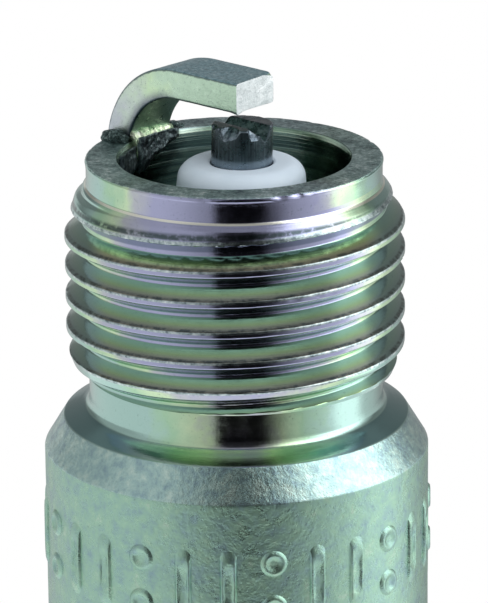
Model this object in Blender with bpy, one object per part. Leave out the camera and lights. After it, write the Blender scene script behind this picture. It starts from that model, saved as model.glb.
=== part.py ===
"""Spark plug, M14 x 1.25 with an 11.2 mm reach and a 63 degree conical seat, 16 mm hexagon.

Metres, +Z toward the firing end. The origin is on the plug's axis, at the gauge circle of the conical
seat. The ground electrode's arm lies in a vertical plane through the axis, ARM_AZIMUTH round from +X.
"""

import math

import bmesh
import bpy
from mathutils import Matrix, Vector

MM = 0.001

# Facets round each turned piece
SHELL_FACETS = 36
FINE_FACETS = 24
WIRE_FACETS = 8

CLEARANCE = 0.10  # mm, between neighbours that touch on the real plug

# Shell, mm. Heights are along Z, from the seat's gauge circle.
REACH = 11.2
LEAD_RADIUS = 5.965
LEAD_BOTTOM = 10.22
EDGE_CHAMFER = 0.12
BORE_RADIUS = 4.64
BORE_CHAMFER = 0.20
THREAD_PITCH = 1.25
CREST_RADIUS = 6.87
ROOT_RADIUS = 6.14
CREST_FLAT = 0.26
ROOT_FLAT = 0.14
THREAD_PHASE = 3.66  # height of a crest at angle 0
LEAD_CONE = ((LEAD_RADIUS, LEAD_BOTTOM), (6.24, 9.90), (6.45, 9.58), (6.57, 9.25), (6.87, 8.62))
NECK_RADIUS = 5.97
RUNOUT_CONE = ((6.87, 3.55), (6.62, 2.85), (6.42, 2.44), (NECK_RADIUS, 2.36))
NECK_BOTTOM = 0.87
NECK_FILLET = 0.13
GAUGE_RADIUS = 7.3
SEAT_HALF_ANGLE = math.radians(31.5)
SEAT_TOP_RADIUS = 7.02
BARREL_RADIUS = 7.83
BARREL_BOTTOM = -9.3
CRIMP_GROOVE_RADIUS = 7.15
CRIMP_BULGE_RADIUS = 7.42
HEX_ACROSS_FLATS = 16.0
HEX_CORNER_RADIUS = 9.05
HEX_FACE_RADIUS = 7.72
HEX_TOP = -11.7
HEX_BOTTOM = -20.7
HEX_CHAMFER = math.radians(30)
COLLAR_RADIUS = 7.05
COLLAR_BOTTOM = -23.15
COLLAR_LIP_RADIUS = 5.30
BODY_BORE_RADIUS = 5.0
LEDGE_RADIUS = 4.15
LEDGE_TOP = -2.1
LEDGE_BOTTOM = -2.9
CAVITY_RADIUS = 6.05
CAVITY_TOP = -9.0

# Insulator, mm
NOSE_TIP = 11.0
NOSE_RADIUS = 2.59
NOSE_ROUNDING = 0.70
NOSE_ROOT_RADIUS = 3.75
NOSE_ROOT = -1.5
NOSE_RUNOUT = 0.31  # how far the fired nose leans toward +X at its tip
SHOULDER_GAP = 0.65  # along Z, between the shell's ledge and the insulator's shoulder
BODY_RADIUS = 4.85
BELLY_RADIUS = 5.88
BELLY_TOP = -10.6
BELLY_BOTTOM = -15.2
REAR_RADIUS = 5.0
REAR_TOP = -16.0
RIB_COUNT = 5
RIB_PITCH = 2.6
RIB_TOP = -27.0
RIB_CREST_RADIUS = 5.15
RIB_VALLEY_RADIUS = 4.45
INSULATOR_END = -45.5
INSULATOR_END_RADIUS = 3.6
NOSE_BORE_RADIUS = 1.35
INNER_BORE_RADIUS = 2.07
INNER_BORE_TOP = -7.1

# Electrodes, mm
CENTRE_RADIUS = 1.25
CENTRE_TIP = 12.58
GROOVE_WIDTH = 0.80
GROOVE_DEPTH = 0.42
HEAD_RADIUS = 1.95
HEAD_TOP = -7.2
HEAD_BOTTOM = -8.6
LUG_RADIUS = 1.2
LUG_BOTTOM = -9.8
CORE_RADIUS = 0.72
CORE_TIP = 8.8
ARM_AZIMUTH = math.radians(-42.9)
STRAP_WIDTH = 2.40
STRAP_THICKNESS = 1.24
STRAP_CORNER = 0.14
STRAP_FOOT = 5.34  # from the axis to the middle of the strap where it meets the rim
STRAP_FOOT_LEAN = math.radians(8)
STRAP_BEND_RADIUS = 3.28
STRAP_END = 1.17  # how far the arm passes the axis
WELD_HEIGHT = 0.36
WELD_SIDE = 0.45

# Seals, resistor, stud and terminal nut, mm
FILL_RADIUS = 1.97
LOWER_SEAL_BOTTOM = -12.5
RESISTOR_BOTTOM = -20.6
UPPER_SEAL_BOTTOM = -27.0
STUD_FOOT_TOP = -22.6
STUD_FOOT_BOTTOM = -29.0
STUD_FOOT_RADIUS = 1.60
KNURL_DEPTH = 0.15
KNURL_RINGS = 6
STUD_SHANK_RADIUS = 1.80
STUD_COLLAR_RADIUS = 3.0
STUD_COLLAR_THICKNESS = 0.7
STUD_THREAD_RADIUS = 2.0
STUD_END = -52.9
NUT_HEIGHT = 6.8
NUT_RADIUS = 3.17
NUT_WAIST_RADIUS = 2.62
NUT_BORE_RADIUS = 2.13
RING_WIRE_RADIUS = 0.40
TALC_BOTTOM = -21.45


def clear_scene():
    for obj in list(bpy.data.objects):
        bpy.data.objects.remove(obj, do_unlink=True)


def make_material(name, colour, metallic, roughness):
    material = bpy.data.materials.new(name)
    material.use_nodes = True
    shader = material.node_tree.nodes["Principled BSDF"]
    shader.inputs["Base Color"].default_value = (*colour, 1.0)
    shader.inputs["Metallic"].default_value = metallic
    shader.inputs["Roughness"].default_value = roughness
    return material


def lean(height):
    """How far the fired nose and what it holds have shifted toward +X at this height, mm."""
    if height <= NOSE_ROOT:
        return 0.0
    return NOSE_RUNOUT * (height - NOSE_ROOT) / (NOSE_TIP - NOSE_ROOT)


def add_object(name, bm, material, origin_height=0.0):
    """Close a bmesh made in millimetres into a named object whose origin is on the axis."""
    bmesh.ops.remove_doubles(bm, verts=bm.verts, dist=1e-4)
    bmesh.ops.recalc_face_normals(bm, faces=bm.faces)
    bm.transform(Matrix.Translation(Vector((0, 0, -origin_height))))
    bm.transform(Matrix.Scale(MM, 4))
    mesh = bpy.data.meshes.new(name)
    bm.to_mesh(mesh)
    bm.free()
    mesh.shade_smooth()
    mesh.set_sharp_from_angle(angle=math.radians(30))
    mesh.materials.append(material)
    obj = bpy.data.objects.new(name, mesh)
    obj.location = (0, 0, origin_height * MM)
    bpy.context.collection.objects.link(obj)
    return obj


def ring_point(angle, spot, shift):
    """A vertex position for one profile point, which is (radius, height) or a function of the angle."""
    radius, height = spot(angle) if callable(spot) else spot
    return (radius * math.cos(angle) + shift(height), radius * math.sin(angle), height)


def turn(bm, profile, facets, closed=True, shift=lambda height: 0.0):
    """Revolve a profile about Z. A closed profile joins its last point to its first."""
    angles = [2 * math.pi * i / facets for i in range(facets)]
    rings = []
    for spot in profile:
        if not callable(spot) and spot[0] == 0:
            rings.append([bm.verts.new((shift(spot[1]), 0, spot[1]))])
        else:
            rings.append([bm.verts.new(ring_point(angle, spot, shift)) for angle in angles])
    pairs = list(zip(rings, rings[1:]))
    if closed:
        pairs.append((rings[-1], rings[0]))
    for upper, lower in pairs:
        if len(upper) == 1 and len(lower) == 1:
            continue
        for i in range(facets):
            j = (i + 1) % facets
            corners = [upper[i % len(upper)], upper[j % len(upper)]]
            corners += [lower[j % len(lower)], lower[i % len(lower)]]
            bm.faces.new(list(dict.fromkeys(corners)))


def turned_piece(name, profile, material, facets=FINE_FACETS, shift=lambda height: 0.0, origin_height=0.0):
    bm = bmesh.new()
    turn(bm, profile, facets, shift=shift)
    return add_object(name, bm, material, origin_height)


def arc(centre, radius, start, end, steps):
    """Profile points along an arc, angles in degrees, both ends included."""
    angles = [math.radians(start + (end - start) * i / steps) for i in range(steps + 1)]
    return [(centre[0] + radius * math.cos(a), centre[1] + radius * math.sin(a)) for a in angles]


def along(points, height):
    """Radius at a height on a broken line of (radius, height) points, held level past its ends."""
    spots = sorted(points, key=lambda spot: spot[1])
    if height <= spots[0][1]:
        return spots[0][0]
    for (r0, z0), (r1, z1) in zip(spots, spots[1:]):
        if height <= z1:
            return r0 + (r1 - r0) * (height - z0) / (z1 - z0)
    return spots[-1][0]


def thread_radius(flat_radius, height):
    return min(flat_radius, along(LEAD_CONE, height), along(RUNOUT_CONE, height))


def add_thread(bm, facets):
    """The right-hand thread's skin, from the lead-in cylinder to the neck, with rows along its helix."""
    top, bottom = LEAD_CONE[0][1], RUNOUT_CONE[-1][1]
    offsets = (
        (-CREST_FLAT / 2, CREST_RADIUS),
        (CREST_FLAT / 2, CREST_RADIUS),
        ((THREAD_PITCH - ROOT_FLAT) / 2, ROOT_RADIUS),
        ((THREAD_PITCH + ROOT_FLAT) / 2, ROOT_RADIUS),
    )
    first = math.floor((bottom - THREAD_PHASE) / THREAD_PITCH) - 2
    last = math.ceil((top - THREAD_PHASE) / THREAD_PITCH) + 1
    columns = []
    for i in range(facets + 1):
        angle = 2 * math.pi * i / facets
        column = []
        for turn_number in range(first, last):
            for offset, flat_radius in offsets:
                height = THREAD_PHASE + THREAD_PITCH * (turn_number + i / facets) + offset
                height = min(max(height, bottom), top)
                radius = thread_radius(flat_radius, height)
                column.append(bm.verts.new((radius * math.cos(angle), radius * math.sin(angle), height)))
        columns.append(column)
    for left, right in zip(columns, columns[1:]):
        for row in range(len(left) - 1):
            bm.faces.new((left[row], right[row], right[row + 1], left[row + 1]))


def hex_radius(angle):
    sector = math.radians(60)
    from_flat = (angle + sector / 2) % sector - sector / 2
    return min(HEX_ACROSS_FLATS / 2 / math.cos(from_flat), HEX_CORNER_RADIUS)


def hex_edge(face_height, toward):
    """Where the hexagon's conical chamfer meets its flats, as a function of the angle."""

    def spot(angle):
        radius = hex_radius(angle)
        return radius, face_height + toward * (radius - HEX_FACE_RADIUS) * math.tan(HEX_CHAMFER)

    return spot


def seat_height(radius):
    """Height of the conical seat at a radius; the gauge circle is at height 0."""
    return (GAUGE_RADIUS - radius) / math.tan(SEAT_HALF_ANGLE)


def make_shell(material):
    outside = [
        (NECK_RADIUS, RUNOUT_CONE[-1][1]),
        (NECK_RADIUS, NECK_BOTTOM + NECK_FILLET),
        (NECK_RADIUS + NECK_FILLET, NECK_BOTTOM),
        (SEAT_TOP_RADIUS, seat_height(SEAT_TOP_RADIUS)),
        (BARREL_RADIUS, seat_height(BARREL_RADIUS)),
        (BARREL_RADIUS, BARREL_BOTTOM + 0.2),
        (BARREL_RADIUS - 0.2, BARREL_BOTTOM),
        (CRIMP_GROOVE_RADIUS, BARREL_BOTTOM - 0.5),
        (CRIMP_BULGE_RADIUS, BARREL_BOTTOM - 1.2),
        (CRIMP_GROOVE_RADIUS, BARREL_BOTTOM - 1.9),
        (CRIMP_GROOVE_RADIUS, HEX_TOP),
        (HEX_FACE_RADIUS, HEX_TOP),
        hex_edge(HEX_TOP, -1),
        hex_edge(HEX_BOTTOM, 1),
        (HEX_FACE_RADIUS, HEX_BOTTOM),
        (COLLAR_RADIUS, HEX_BOTTOM),
    ]
    collar_round = 1.2
    collar = arc((COLLAR_RADIUS - collar_round, COLLAR_BOTTOM + collar_round), collar_round, 0, -90, 4)
    lip = [
        (COLLAR_LIP_RADIUS, COLLAR_BOTTOM),
        (COLLAR_LIP_RADIUS, COLLAR_BOTTOM + 0.58),
        (CAVITY_RADIUS - 0.15, COLLAR_BOTTOM + 0.68),
        (CAVITY_RADIUS, COLLAR_BOTTOM + 1.05),
    ]
    cavity_step = CAVITY_RADIUS - BODY_BORE_RADIUS
    ledge_step = BODY_BORE_RADIUS - LEDGE_RADIUS
    inside = [
        (CAVITY_RADIUS, CAVITY_TOP - cavity_step),
        (BODY_BORE_RADIUS, CAVITY_TOP),
        (BODY_BORE_RADIUS, LEDGE_BOTTOM - ledge_step),
        (LEDGE_RADIUS, LEDGE_BOTTOM),
        (LEDGE_RADIUS, LEDGE_TOP),
        (BORE_RADIUS, LEDGE_TOP + 0.4),
        (BORE_RADIUS, REACH - BORE_CHAMFER),
        (BORE_RADIUS + BORE_CHAMFER, REACH),
        (LEAD_RADIUS - EDGE_CHAMFER, REACH),
        (LEAD_RADIUS, REACH - EDGE_CHAMFER),
        (LEAD_RADIUS, LEAD_BOTTOM),
    ]
    bm = bmesh.new()
    turn(bm, outside + collar + lip + inside, SHELL_FACETS, closed=False)
    add_thread(bm, SHELL_FACETS)
    return add_object("metal_shell", bm, material)


def make_insulator(material):
    nose_tube = (NOSE_RADIUS - NOSE_ROUNDING, NOSE_TIP - NOSE_ROUNDING)
    nose = [(NOSE_BORE_RADIUS, NOSE_TIP)] + arc(nose_tube, NOSE_ROUNDING, 90, 0, 4)
    shoulder_radius = 3.95
    shoulder_height = LEDGE_BOTTOM + LEDGE_RADIUS - SHOULDER_GAP - shoulder_radius
    body = [
        (NOSE_ROOT_RADIUS, NOSE_ROOT),
        (shoulder_radius, shoulder_height),
        (BODY_RADIUS, shoulder_height - (BODY_RADIUS - shoulder_radius)),
        (BODY_RADIUS, BELLY_TOP + BELLY_RADIUS - BODY_RADIUS),
        (BELLY_RADIUS, BELLY_TOP),
        (BELLY_RADIUS, BELLY_BOTTOM),
        (REAR_RADIUS, REAR_TOP),
        (REAR_RADIUS, RIB_TOP + 0.6),
    ]
    ribs = []
    for number in range(RIB_COUNT):
        height = RIB_TOP - number * RIB_PITCH
        ribs += [
            (RIB_CREST_RADIUS, height),
            (RIB_CREST_RADIUS, height - 0.45 * RIB_PITCH),
            (RIB_VALLEY_RADIUS, height - 0.62 * RIB_PITCH),
            (RIB_VALLEY_RADIUS, height - 0.83 * RIB_PITCH),
        ]
    end = [
        (RIB_VALLEY_RADIUS, RIB_TOP - RIB_COUNT * RIB_PITCH),
        (INSULATOR_END_RADIUS, INSULATOR_END + 0.5),
        (INSULATOR_END_RADIUS - 0.4, INSULATOR_END),
    ]
    inner = [
        (INNER_BORE_RADIUS, INSULATOR_END),
        (INNER_BORE_RADIUS, INNER_BORE_TOP),
        (NOSE_BORE_RADIUS, INNER_BORE_TOP + 0.7),
        (NOSE_BORE_RADIUS, NOSE_ROOT),
    ]
    return turned_piece("insulator", nose + body + ribs + end + inner, material, SHELL_FACETS, shift=lean)


def make_groove_cutter(name, height, guide_material):
    """A long V-shaped bar, point down, lying along the arm across the electrode's tip."""
    reach_above = 0.3
    half_width = GROOVE_WIDTH / 2 * (GROOVE_DEPTH + reach_above) / GROOVE_DEPTH
    top = height + reach_above
    section = [(0, height - GROOVE_DEPTH), (half_width, top), (-half_width, top)]
    bm = bmesh.new()
    bar_ends = []
    for x in (-2, 2):
        bar_ends.append([bm.verts.new((x + lean(height), y, z)) for y, z in section])
    near, far = bar_ends
    bm.faces.new(near)
    bm.faces.new(far)
    for i in range(3):
        j = (i + 1) % 3
        bm.faces.new((near[i], near[j], far[j], far[i]))
    centre = Vector((lean(height), 0, 0))
    spin = Matrix.Translation(centre) @ Matrix.Rotation(ARM_AZIMUTH, 4, "Z") @ Matrix.Translation(-centre)
    bm.transform(spin)
    cutter = add_object(name, bm, guide_material)
    cutter.hide_render = True
    cutter.display_type = "WIRE"
    return cutter


def make_centre_electrode(material):
    core_hole = CORE_RADIUS + CLEARANCE
    profile = [
        (0, CENTRE_TIP),
        (CENTRE_RADIUS - 0.05, CENTRE_TIP),
        (CENTRE_RADIUS, CENTRE_TIP - 0.05),
        (CENTRE_RADIUS, NOSE_ROOT),
        (CENTRE_RADIUS, HEAD_TOP + HEAD_RADIUS - CENTRE_RADIUS),
        (HEAD_RADIUS, HEAD_TOP),
        (HEAD_RADIUS, HEAD_BOTTOM),
        (LUG_RADIUS, HEAD_BOTTOM),
        (LUG_RADIUS, LUG_BOTTOM),
        (core_hole, LUG_BOTTOM),
        (core_hole, NOSE_ROOT),
        (core_hole, CORE_TIP),
        (0, CORE_TIP + core_hole),
    ]
    bm = bmesh.new()
    turn(bm, profile, FINE_FACETS, closed=False, shift=lean)
    electrode = add_object("centre_electrode", bm, material)
    cut = electrode.modifiers.new("tip groove", "BOOLEAN")
    cut.operation = "DIFFERENCE"
    cut.solver = "EXACT"
    cut.object = make_groove_cutter("tip_groove_guide", CENTRE_TIP, material)
    return electrode


def make_copper_core(material):
    profile = [(0, CORE_TIP), (CORE_RADIUS, CORE_TIP - CORE_RADIUS), (CORE_RADIUS, NOSE_ROOT)]
    profile += [(CORE_RADIUS, LUG_BOTTOM), (0, LUG_BOTTOM)]
    return turned_piece("centre_electrode_copper_core", profile, material, 12, shift=lean)


def strap_stations():
    """Middle line of the strap in the arm's plane: (distance along the arm, height, direction angle)."""
    start = math.pi / 2 - STRAP_FOOT_LEAN
    bend_steps = 10
    centre_along = -STRAP_FOOT + STRAP_BEND_RADIUS * math.sin(start)
    centre_height = REACH - STRAP_BEND_RADIUS * math.cos(start)
    stations = []
    for step in range(bend_steps + 1):
        angle = start * (1 - step / bend_steps)
        spot_along = centre_along - STRAP_BEND_RADIUS * math.sin(angle)
        spot_height = centre_height + STRAP_BEND_RADIUS * math.cos(angle)
        stations.append((spot_along, spot_height, angle))
    stations.append((STRAP_END, stations[-1][1], 0.0))
    return stations


def strap_section():
    """Corners of the strap's section, clipped: (across the arm, through its thickness)."""
    half_width, half_thickness = STRAP_WIDTH / 2, STRAP_THICKNESS / 2
    corner = STRAP_CORNER
    section = []
    for across, through in ((1, 1), (-1, 1), (-1, -1), (1, -1)):
        long_side = (across * half_width, through * (half_thickness - corner))
        short_side = (across * (half_width - corner), through * half_thickness)
        section += [long_side, short_side] if across * through > 0 else [short_side, long_side]
    return section


def make_ground_electrode(material):
    bm = bmesh.new()
    rings = []
    for spot_along, height, angle in strap_stations():
        ring = []
        for across, through in strap_section():
            x = spot_along - through * math.sin(angle)
            ring.append(bm.verts.new((x, across, height + through * math.cos(angle))))
        rings.append(ring)
    foot_height = REACH + CLEARANCE
    for vertex in rings[0]:
        vertex.co.z = foot_height
    for near, far in zip(rings, rings[1:]):
        for i in range(len(near)):
            j = (i + 1) % len(near)
            bm.faces.new((near[i], near[j], far[j], far[i]))
    bm.faces.new(rings[0])
    bm.faces.new(rings[-1])
    bm.transform(Matrix.Rotation(ARM_AZIMUTH, 4, "Z"))
    return add_object("ground_electrode", bm, material)


def make_weld(material):
    """The upset weld bead: a low horseshoe round the strap's foot, open toward the shell's outside."""
    outer_edge = -LEAD_RADIUS + 0.07
    slot_edge = -STRAP_FOOT + STRAP_THICKNESS / 2 + CLEARANCE
    inner_edge = slot_edge + 0.26
    slot_side = STRAP_WIDTH / 2 + CLEARANCE
    side = slot_side + WELD_SIDE
    outline = [(outer_edge, -side), (inner_edge, -side), (inner_edge, side), (outer_edge, side)]
    outline += [(outer_edge, slot_side), (slot_edge, slot_side)]
    outline += [(slot_edge, -slot_side), (outer_edge, -slot_side)]
    bottom = REACH + CLEARANCE
    bm = bmesh.new()
    floor = bm.faces.new([bm.verts.new((x, y, bottom)) for x, y in outline])
    raised = bmesh.ops.extrude_face_region(bm, geom=[floor])
    top = [v for v in raised["geom"] if isinstance(v, bmesh.types.BMVert)]
    bmesh.ops.translate(bm, verts=top, vec=(0, 0, WELD_HEIGHT))
    bm.transform(Matrix.Rotation(ARM_AZIMUTH, 4, "Z"))
    return add_object("ground_electrode_weld", bm, material)


def make_filling(name, top, bottom, hole, material):
    """A plug of filling in the insulator's bore; hole is (radius, from height, to height) or None."""
    profile = [(0, top), (FILL_RADIUS, top), (FILL_RADIUS, bottom), (0, bottom)]
    if hole:
        radius, mouth, depth = hole
        flat = [(radius, mouth), (radius, depth), (0, depth)]
        if mouth == bottom:
            profile = profile[:-1] + flat
        else:
            profile = [profile[3], profile[2], profile[1]] + flat
    bm = bmesh.new()
    turn(bm, profile, FINE_FACETS, closed=False)
    return add_object(name, bm, material)


def make_fillings(seal_material, resistor_material):
    lower_top = HEAD_BOTTOM - CLEARANCE
    lug_hole = (LUG_RADIUS + CLEARANCE, lower_top, LUG_BOTTOM - CLEARANCE)
    make_filling("lower_glass_seal", lower_top, LOWER_SEAL_BOTTOM, lug_hole, seal_material)
    resistor_top = LOWER_SEAL_BOTTOM - CLEARANCE
    make_filling("suppressor_resistor", resistor_top, RESISTOR_BOTTOM, None, resistor_material)
    stud_hole = (STUD_FOOT_RADIUS + CLEARANCE, UPPER_SEAL_BOTTOM, STUD_FOOT_TOP + CLEARANCE)
    seal_top = RESISTOR_BOTTOM - CLEARANCE
    make_filling("upper_glass_seal", seal_top, UPPER_SEAL_BOTTOM, stud_hole, seal_material)


def make_stud(material):
    knurl = []
    knurl_pitch = 4.0 / KNURL_RINGS
    for number in range(KNURL_RINGS):
        height = STUD_FOOT_TOP - 0.3 - number * knurl_pitch
        knurl.append((STUD_FOOT_RADIUS, height))
        knurl.append((STUD_FOOT_RADIUS - KNURL_DEPTH, height - knurl_pitch / 2))
    collar_top = INSULATOR_END - CLEARANCE
    collar_bottom = collar_top - STUD_COLLAR_THICKNESS
    profile = [(0, STUD_FOOT_TOP), (STUD_FOOT_RADIUS - 0.3, STUD_FOOT_TOP)]
    profile += knurl
    profile += [
        (STUD_FOOT_RADIUS, UPPER_SEAL_BOTTOM),
        (STUD_FOOT_RADIUS, STUD_FOOT_BOTTOM),
        (STUD_SHANK_RADIUS, STUD_FOOT_BOTTOM - 0.2),
        (STUD_SHANK_RADIUS, collar_top),
        (STUD_COLLAR_RADIUS, collar_top),
        (STUD_COLLAR_RADIUS, collar_bottom),
        (STUD_THREAD_RADIUS, collar_bottom),
        (STUD_THREAD_RADIUS, STUD_END + 0.35),
        (STUD_THREAD_RADIUS - 0.35, STUD_END),
        (0, STUD_END),
    ]
    bm = bmesh.new()
    turn(bm, profile, FINE_FACETS, closed=False)
    return add_object("terminal_stud", bm, material)


def make_nut(material):
    top = INSULATOR_END - 2 * CLEARANCE - STUD_COLLAR_THICKNESS
    bottom = top - NUT_HEIGHT
    profile = [
        (NUT_BORE_RADIUS, top),
        (NUT_RADIUS - 0.15, top),
        (NUT_RADIUS, top - 0.15),
        (NUT_RADIUS, top - 1.5),
        (NUT_WAIST_RADIUS, top - 2.0),
        (NUT_WAIST_RADIUS, top - 3.4),
        (NUT_RADIUS, top - 4.0),
        (NUT_RADIUS, bottom + 0.7),
        (NUT_RADIUS - 0.2, bottom + 0.2),
        (NUT_RADIUS - 0.5, bottom),
        (NUT_BORE_RADIUS, bottom),
    ]
    axis = bpy.data.objects.new("terminal_nut_axis", None)
    axis.location = (0, 0, top * MM)
    bpy.context.collection.objects.link(axis)
    nut = turned_piece("terminal_nut", profile, material, origin_height=top)
    nut.parent = axis
    nut.location = (0, 0, 0)
    return nut


def make_packings(steel, talc):
    ledge = LEDGE_BOTTOM + LEDGE_RADIUS
    gap = CLEARANCE * math.sqrt(2)
    inner, outer = LEDGE_RADIUS + 0.1, BODY_RADIUS - 0.05
    washer = [(inner, ledge - gap - inner), (outer, ledge - gap - outer)]
    washer += [(outer, ledge - SHOULDER_GAP + gap - outer), (inner, ledge - SHOULDER_GAP + gap - inner)]
    turned_piece("inner_seat_washer", washer, steel, SHELL_FACETS)

    middle = (CAVITY_RADIUS + REAR_RADIUS) / 2
    lower_height = REAR_TOP - 0.25
    upper_height = TALC_BOTTOM - CLEARANCE - RING_WIRE_RADIUS
    for name, height in (("lower_packing_ring", lower_height), ("upper_packing_ring", upper_height)):
        wire = arc((middle, height), RING_WIRE_RADIUS, 0, 360 - 360 / WIRE_FACETS, WIRE_FACETS - 1)
        turned_piece(name, wire, steel, SHELL_FACETS)

    inner, outer = REAR_RADIUS + CLEARANCE, CAVITY_RADIUS - CLEARANCE
    talc_top = lower_height - RING_WIRE_RADIUS - CLEARANCE
    ring = [(inner, talc_top), (outer, talc_top), (outer, TALC_BOTTOM), (inner, TALC_BOTTOM)]
    turned_piece("talc_filling", ring, talc, SHELL_FACETS)


def main():
    clear_scene()
    plating = make_material("plated_steel", (0.30, 0.38, 0.36), 1.0, 0.32)
    nickel = make_material("nickel_alloy", (0.50, 0.53, 0.52), 1.0, 0.38)
    dark_nickel = make_material("dark_nickel_alloy", (0.10, 0.12, 0.14), 1.0, 0.35)
    scorched = make_material("scorched_weld_steel", (0.16, 0.20, 0.20), 1.0, 0.55)
    alumina = make_material("alumina", (0.74, 0.80, 0.86), 0.0, 0.45)
    copper = make_material("copper", (0.85, 0.42, 0.26), 1.0, 0.35)
    seal_glass = make_material("copper_glass", (0.33, 0.18, 0.12), 0.3, 0.5)
    carbon_glass = make_material("carbon_glass", (0.05, 0.05, 0.05), 0.0, 0.6)
    bright_steel = make_material("bright_steel", (0.62, 0.63, 0.62), 1.0, 0.28)
    packing_steel = make_material("packing_steel", (0.45, 0.45, 0.44), 1.0, 0.45)
    talc = make_material("talc", (0.82, 0.81, 0.76), 0.0, 0.85)

    make_shell(plating)
    make_insulator(alumina)
    make_centre_electrode(dark_nickel)
    make_copper_core(copper)
    make_ground_electrode(nickel)
    make_weld(scorched)
    make_fillings(seal_glass, carbon_glass)
    make_stud(bright_steel)
    make_nut(bright_steel)
    make_packings(packing_steel, talc)


main()
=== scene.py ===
"""The looks of the spark plug: fine thread, worn plating, weld, grooved electrode, ceramic and terminal.

Lengths are millimetres in the frame of the CAD model, unless a name or comment says metres. +Z points toward
the firing end, and the origin is at the seat's gauge circle. mesh_object() turns millimetres into metres.
"""

import math

import bmesh
import bpy
import numpy as np
from mathutils import Matrix, Vector


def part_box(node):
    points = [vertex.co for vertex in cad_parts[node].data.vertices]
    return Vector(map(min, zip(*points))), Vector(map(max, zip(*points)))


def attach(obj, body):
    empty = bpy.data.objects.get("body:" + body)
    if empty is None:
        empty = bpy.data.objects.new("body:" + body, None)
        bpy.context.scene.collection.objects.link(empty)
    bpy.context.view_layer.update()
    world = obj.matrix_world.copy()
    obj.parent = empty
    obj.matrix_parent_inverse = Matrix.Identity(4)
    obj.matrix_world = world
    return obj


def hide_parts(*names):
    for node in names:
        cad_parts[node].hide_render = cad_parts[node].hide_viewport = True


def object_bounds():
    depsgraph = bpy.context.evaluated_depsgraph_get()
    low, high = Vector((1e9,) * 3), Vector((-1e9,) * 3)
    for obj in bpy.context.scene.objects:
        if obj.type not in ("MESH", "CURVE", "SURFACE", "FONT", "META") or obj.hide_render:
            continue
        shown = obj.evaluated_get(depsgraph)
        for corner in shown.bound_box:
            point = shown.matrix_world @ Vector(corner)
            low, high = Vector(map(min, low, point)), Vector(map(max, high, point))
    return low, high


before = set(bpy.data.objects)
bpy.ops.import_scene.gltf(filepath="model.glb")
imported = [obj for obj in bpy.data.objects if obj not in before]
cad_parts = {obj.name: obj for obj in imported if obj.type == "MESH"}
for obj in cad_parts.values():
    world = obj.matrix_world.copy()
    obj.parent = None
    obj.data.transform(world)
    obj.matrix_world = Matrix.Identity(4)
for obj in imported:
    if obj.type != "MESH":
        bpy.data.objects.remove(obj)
cad_low, cad_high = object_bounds()

MM = 0.001
TAU = 2 * math.pi

# ---- sizes, from the CAD model


def box_mm(node):
    """Lowest and highest corner of a CAD node, in millimetres."""
    low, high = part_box(node)
    return np.array(low) / MM, np.array(high) / MM


shell_low, shell_high = box_mm("metal_shell")
insulator_low, insulator_high = box_mm("insulator")
nut_low, nut_high = box_mm("terminal_nut")

REACH = shell_high[2]
COLLAR_BOTTOM = shell_low[2]
HEX_FLATS = shell_high[0] - shell_low[0]
HEX_CORNER_RADIUS = 9.05
NOSE_TIP = insulator_high[2]
INSULATOR_END = insulator_low[2]
CENTRE_TIP = box_mm("centre_electrode")[1][2]
STUD_END = box_mm("terminal_stud")[0][2]
NUT_TOP = nut_high[2]
NUT_BOTTOM = nut_low[2]

PITCH = 1.25
CREST_PHASE = 3.66  # height of a crest's middle at angle 0
CREST_RADIUS = 6.87
ROOT_RADIUS = 6.13
FLANK_SLOPE = math.sqrt(3)  # a 60 degree thread
LEAD_RADIUS = 5.965
NECK_RADIUS = 5.97
BORE_RADIUS = 4.64
BARREL_RADIUS = 7.83
GAUGE_RADIUS = 7.3
SEAT_TOP_RADIUS = 7.02
SEAT_ANGLE = math.radians(31.5)

ARM_AZIMUTH = math.radians(-42.9)
STRAP_WIDTH = 2.40
STRAP_THICKNESS = 1.24
STRAP_BEND = 3.28  # radius of the bend's middle line
BEND_ALONG = -2.092  # middle of the bend, along the arm's direction
BEND_HEIGHT = 10.744

NOSE_ROOT = -1.5
NOSE_RUNOUT = 0.31


def lean(height):
    """Shift toward +X of the fired nose and the electrode it holds, at these heights."""
    return NOSE_RUNOUT * np.clip((height - NOSE_ROOT) / (NOSE_TIP - NOSE_ROOT), 0, None)


# ---- mesh helpers


def lattice_noise(points, seed=0):
    """Smooth noise from 0 to 1 at each point of an (..., 3) array, with features one unit apart."""
    cell = np.floor(points).astype(np.int64)
    part = points - cell
    weight = part * part * (3 - 2 * part)
    total = np.zeros(points.shape[:-1])
    for corner in np.ndindex(2, 2, 2):
        spot = cell + np.array(corner)
        code = spot[..., 0] * 374761393 + spot[..., 1] * 668265263 + spot[...,
            2] * 915488749 + seed * 144665
        code = (code ^ (code >> 13)) * 1274126177
        value = ((code ^ (code >> 16)) & 0xFFFF) / 0xFFFF
        total += value * np.prod(np.where(np.array(corner) == 1, weight, 1 - weight), axis=-1)
    return total


def rough_noise(points, feature, octaves, seed):
    """Noise from -1 to 1 whose largest features are this many millimetres across."""
    total = np.zeros(points.shape[:-1])
    strength = 0.0
    for octave in range(octaves):
        total += lattice_noise(points / feature * 2**octave, seed + octave) * 0.5**octave
        strength += 0.5**octave
    return 2 * total / strength - 1


def smooth_step(value, start, end):
    part = np.clip((value - start) / (end - start), 0, 1)
    return part * part * (3 - 2 * part)


def soft_min(a, b, width):
    """The smaller of two lengths, rounded over where they are about equal."""
    mix = np.clip(0.5 + 0.5 * (b - a) / width, 0, 1)
    return b * (1 - mix) + a * mix - width * mix * (1 - mix)


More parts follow.
